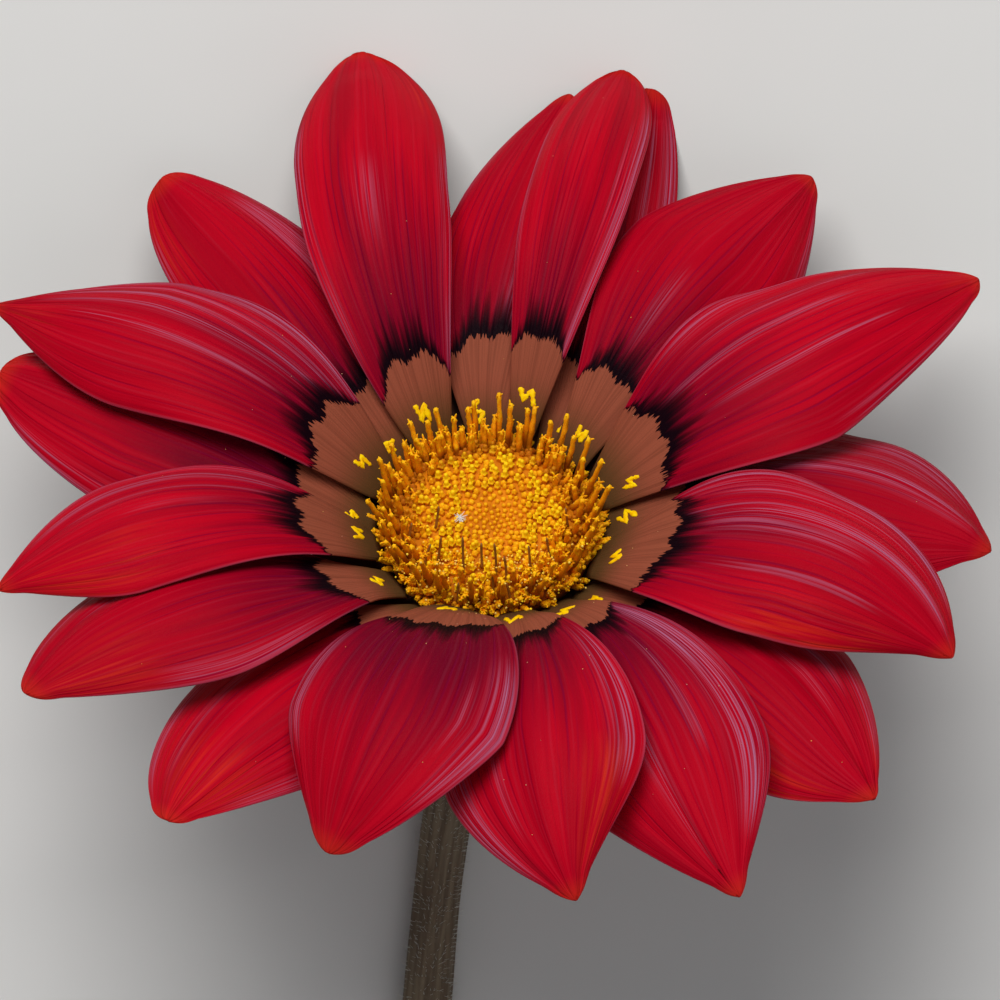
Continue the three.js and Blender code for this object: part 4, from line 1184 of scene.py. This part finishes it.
# A bract is a thick pointed leaf: flat behind, rounded in front, and hairy along both margins.
def makeBracts(material, hairMaterial):
    form = bractForm
    skins, hairs, hairWays = [], [], []
    step = np.linspace(form["outline"][0][0], 1.0, form["rings"])
    at, *columns = np.array(form["outline"]).T
    width, bow = (np.interp(step, at, column) for column in columns)
    v = np.linspace(-1, 1, form["columns"])
    thick = form["thickness"] / 2
    outer = thick * (-1 + 2.5 * (1 - np.abs(v) ** 1.5))
    ringSide = np.concatenate([v[::-1], v[1:-1]])
    ringOut = np.concatenate([outer[::-1], np.full(len(v) - 2, -thick)])
    taper = np.interp(step, [0.6, 1.0], [1.0, form["taper"]])
    hairStep = np.linspace(form["hairsFrom"], form["hairsTo"], form["hairs"])
    for row in bractRows:
        for place in range(row["count"]):
            azimuth = row["turn"] + 360 * place / row["count"]
            lean = math.radians(row["lean"])
            foot = onCircle(azimuth, row["radius"] - form["inset"], row["height"])
            along = onCircle(azimuth, math.sin(lean), math.cos(lean))
            out = onCircle(azimuth, math.cos(lean), -math.sin(lean))
            side = onCircle(azimuth + 90, 1, 0)
            middle = foot + along * (row["length"] * step)[:, None] + out * (row["length"] * bow)[:, None]
            half = row["width"] * width / 2
            skins.append(middle[:, None] + side * (half[:, None] * ringSide)[..., None]
                         + out * (ringOut * taper[:, None])[..., None])
            spine = np.stack([np.interp(hairStep, step, middle[:, axis]) for axis in range(3)], axis=-1)
            for sign in (-1, 1):
                beside = side * sign * np.interp(hairStep, step, half)[:, None]
                hairs.append(spine + beside - out * thick * 0.8)
                hairWays.append(np.tile(side * sign + along * 0.7 + out * 0.25, (len(hairStep), 1)))
    points, faces = closeTubes(np.stack(skins))
    edge = np.tile(np.append(np.tile(ringSide ** 2, len(step)), [0, 0]), len(skins))
    tip = perPoint(np.tile(step, (len(skins), 1)), len(ringSide))
    values = {"edge": edge, "tip": tip, "rim": 0 * tip}
    makeCupPiece("involucre_bracts", points, faces, material, values)
    makeHairs("bract_hairs", np.concatenate(hairs), np.concatenate(hairWays), form["hairLength"], 31,
              hairMaterial, headToRow)


hairForm = {"rings": 4, "sides": 3, "foot": 0.020, "tip": 0.008, "lengthShares": (0.55, 1.25),
            "wildness": 0.22, "bow": 0.18}


# Fine bent hairs from the given points, each along its own way. place puts them in the row's frame.
def makeHairs(name, feet, ways, length, seed, material, place=None):
    form = hairForm
    random = np.random.default_rng(seed)
    count = len(feet)
    ways = unit(unit(ways) + random.normal(0, form["wildness"], ways.shape))
    bow = unit(random.normal(0, 1, ways.shape))
    step = np.linspace(0, 1, form["rings"])
    long = length * random.uniform(*form["lengthShares"], (count, 1))
    paths = feet[:, None] + ways[:, None] * (long * step)[..., None]
    paths = paths + bow[:, None] * (form["bow"] * long * step ** 2)[..., None]
    radii = np.tile(np.interp(step, [0, 1], [form["foot"], form["tip"]]), (count, 1))
    points, faces = sweepTubes(paths, radii, form["sides"], np.cross(ways, bow))
    makePiece(name, place(points) if place else points, faces, material)


hairSkin = plainMaterial("pale_hair", greens["hair"], greens["hairTop"], 900.0, {"Roughness": 0.4})
bractSkin = bractMaterial()
makeCup(bractSkin)
makeBracts(bractSkin, hairSkin)
print("involucre made")

# Stem: a bent, finely ridged stalk with short hairs and a cut end that shows the pith.
# ridges: (share of the radius, count, twist, shift); swells: (share of the radius, mm, shift);
# cut: rings of the cut end, as (share of the radius, depth in mm, how much pith shows).
stemForm = {
    "radius": 2.15, "slimming": 0.02, "gap": 0.3, "neck": 3.5, "rings": 230, "sides": 48,
    "ridges": [(0.035, 9, 0.012, 0.0), (0.012, 17, -0.02, 1.0)],
    "swells": [(0.02, 6.1, 0.0), (0.015, 2.7, 1.0)],
    "cut": [(0.9, 0.03, 0.3), (0.86, 0.22, 0.6), (0.45, 0.3, 1.0), (0.12, 0.3, 1.0)],
    "hairs": 5600, "hairLength": 0.6,
}
# Where it runs after its neck, in mm: to the side, back from the neck, and height.
stemRoute = [(-1.6, 7.2, 5.2), (-3.3, 13.5, 2.75), (-4.5, 21.5, 2.03), (-5.9, 37, 2.03), (-7.0, 53, 2.03),
             (-7.6, 69, 2.03), (-7.2, 86, 2.03)]
stemColors = {"skin": (0.115, 0.078, 0.048), "pale": (0.20, 0.15, 0.095), "purple": (0.075, 0.035, 0.042),
              "green": (0.10, 0.115, 0.05), "pith": (0.52, 0.55, 0.36)}


# A smooth curve through the route's points, resampled at even steps.
def stemMiddle():
    form = stemForm
    top = cupForm["outline"][0][1] - form["gap"]
    neck, below = (headToRow(np.array([0.0, 0.0, height])) for height in (top, top - form["neck"]))
    knots = [neck, below] + [np.array([x, neck[1] - back, z]) for x, back, z in stemRoute]
    knots = [2 * knots[0] - knots[1], *knots, 2 * knots[-1] - knots[-2]]
    u = np.linspace(0, 1, 60, endpoint=False)[:, None]
    pieces = []
    for a, b, c, d in zip(knots, knots[1:], knots[2:], knots[3:]):
        before, here, after = (math.sqrt(np.linalg.norm(q - p)) for p, q in ((a, b), (b, c), (c, d)))
        leave = ((b - a) / before - (c - a) / (before + here) + (c - b) / here) * here
        arrive = ((c - b) / here - (d - b) / (here + after) + (d - c) / after) * here
        pieces.append(b + leave * u + (3 * (c - b) - 2 * leave - arrive) * u ** 2
                      + (2 * (b - c) + leave + arrive) * u ** 3)
    fine = np.concatenate(pieces + [knots[-2][None]])
    run = np.concatenate([[0], np.cumsum(np.linalg.norm(np.diff(fine, axis=0), axis=1))])
    even = np.linspace(0, run[-1], form["rings"])
    return np.stack([np.interp(even, run, fine[:, axis]) for axis in range(3)], axis=-1), even


def stemMaterial():
    colors = stemColors
    startMaterial("stem_skin", {"Roughness": 0.62, "Specular IOR Level": 0.3})
    around, run = reading("around"), reading("run")
    lines = noise(combine(multiply(around, 2.2), multiply(run, 0.12), 3.0), 1.0, 4.0)
    patches = grainOf(90.0)
    grain = grainOf(1400.0)
    color = blend(remap(lines, 0.38, 0.64), colors["skin"], colors["pale"])
    color = blend(remap(patches, 0.5, 0.72, 0.0, 0.6), color, colors["purple"])
    color = blend(remap(run, 30.0, 80.0, 0.0, 0.6), color, colors["green"])     # greener toward the cut end
    color = blend(remap(grain, 0.55, 0.75, 0.0, 0.4), color, colors["pale"])
    color = blend(remap(reading("cut"), 0.1, 0.25), color, colors["pith"])
    return finishMaterial(color, multiplyAdd(lines, 1.4, grain), 0.1)


def makeStem(material, hairMaterial):
    form = stemForm
    middle, run = stemMiddle()
    rings, sides = form["rings"], form["sides"]
    forward = unit(np.gradient(middle, axis=0))
    side = unit(np.cross(forward, np.cross(np.tile([1.0, 0.0, 0.0], (rings, 1)), forward)))
    over = np.cross(forward, side)
    turn = roundTurns(sides)
    ringWay = side[:, None] * np.cos(turn)[:, None] + over[:, None] * np.sin(turn)[:, None]
    shape = 1 - form["slimming"]
    for share, count, twist, shift in form["ridges"]:
        shape = shape + share * np.cos(count * turn[None] + twist * run[:, None] + shift)
    for share, length, shift in form["swells"]:
        shape = shape + share * np.sin(run / length + shift)[:, None]
    radius = form["radius"] * shape
    ends = [middle[:, None] + ringWay * radius[..., None]]
    for share, depth, _ in form["cut"]:
        ends.append((middle[-1] - forward[-1] * depth + ringWay[-1] * (radius[-1] * share)[:, None])[None])
    skin = np.concatenate(ends)
    skin[..., 2] = np.maximum(skin[..., 2], 0.0)    # flat where the stem lies on the surface
    points, faces = closeTubes(skin[None])
    extra = len(form["cut"])
    around = np.tile(np.abs(turn - math.pi) * form["radius"], rings + extra)
    away = np.repeat(np.append(run, np.full(extra, run[-1])), sides)
    pith = np.repeat(np.append(np.zeros(rings), [level for _, _, level in form["cut"]]), sides)
    values = {"around": np.append(around, [0, 0]), "run": np.append(away, [0, run[-1]]),
              "cut": np.append(pith, [0, 1])}
    makePiece("flower_stem", points, faces, material, values, stands=("stem",))
    random = np.random.default_rng(37)
    ring = random.integers(1, rings - 1, form["hairs"])
    corner = random.integers(0, sides, form["hairs"])
    feet = middle[ring] + ringWay[ring, corner] * radius[ring, corner][:, None] * 0.99
    ways = ringWay[ring, corner] - forward[ring] * 0.35
    free = feet[:, 2] + ways[:, 2] * form["hairLength"] > 0.15          # none where the stem touches
    makeHairs("stem_hairs", feet[free], ways[free], form["hairLength"], 43, hairMaterial)


makeStem(stemMaterial(), hairSkin)
print("stem made")


# Floor, light and camera.
def floorMaterial():
    startMaterial("pale_table", {"Roughness": 0.7})
    return finishMaterial(blend(grainOf(30.0, 4.0), (0.60, 0.60, 0.58), (0.66, 0.655, 0.64)))


bpy.ops.mesh.primitive_plane_add(size=6.0, location=(0, 0, 0))
floor = bpy.context.object
floor.name = "table_top"
floor.data.materials.append(floorMaterial())

lightPlan = {
    "aim": (0.0, 0.030, 0.028),
    "lamps": {
        "key": dict(place=(-0.15, 0.75, 0.95), size=0.8, power=15.0, color=(1.0, 0.98, 0.97)),
        "fill": dict(place=(0.35, -0.6, 1.1), size=1.2, power=3.0, color=(0.97, 0.98, 1.0)),
    },
    "world": dict(color=(0.9, 0.95, 1.0), strength=0.18),
}
for name, plan in lightPlan["lamps"].items():
    data = bpy.data.lights.new(name, "AREA")
    data.energy = plan["power"]
    data.size = plan["size"]
    data.color = plan["color"]
    lamp = bpy.data.objects.new(name, data)
    bpy.context.collection.objects.link(lamp)
    lamp.location = plan["place"]
    lamp.rotation_euler = (Vector(lightPlan["aim"]) - lamp.location).to_track_quat("-Z", "Y").to_euler()
world = bpy.data.worlds.new("soft_room")
world.use_nodes = True
background = world.node_tree.nodes["Background"]
background.inputs["Color"].default_value = (*lightPlan["world"]["color"], 1.0)
background.inputs["Strength"].default_value = lightPlan["world"]["strength"]
bpy.context.scene.world = world
bpy.context.scene.view_settings.view_transform = "Standard"

# In mm: the middle of the view, the height of the flower's face, the camera's distance, and one pixel.
viewPlan = {"centreX": 0.95, "centreY": 29.26, "subjectHeight": 29.02, "distance": 1000.0,
            "pixel": 0.086, "pixelsAcross": 1000, "sensor": 36.0}
cameraData = bpy.data.cameras.new("overhead")
cameraData.sensor_width = viewPlan["sensor"]
cameraData.lens = viewPlan["sensor"] * viewPlan["distance"] / (viewPlan["pixel"] * viewPlan["pixelsAcross"])
camera = bpy.data.objects.new("overhead", cameraData)
bpy.context.collection.objects.link(camera)
camera.location = (viewPlan["centreX"] * mm, viewPlan["centreY"] * mm,
                   (viewPlan["subjectHeight"] + viewPlan["distance"]) * mm)
camera.rotation_euler = (0, 0, 0)
bpy.context.scene.camera = camera
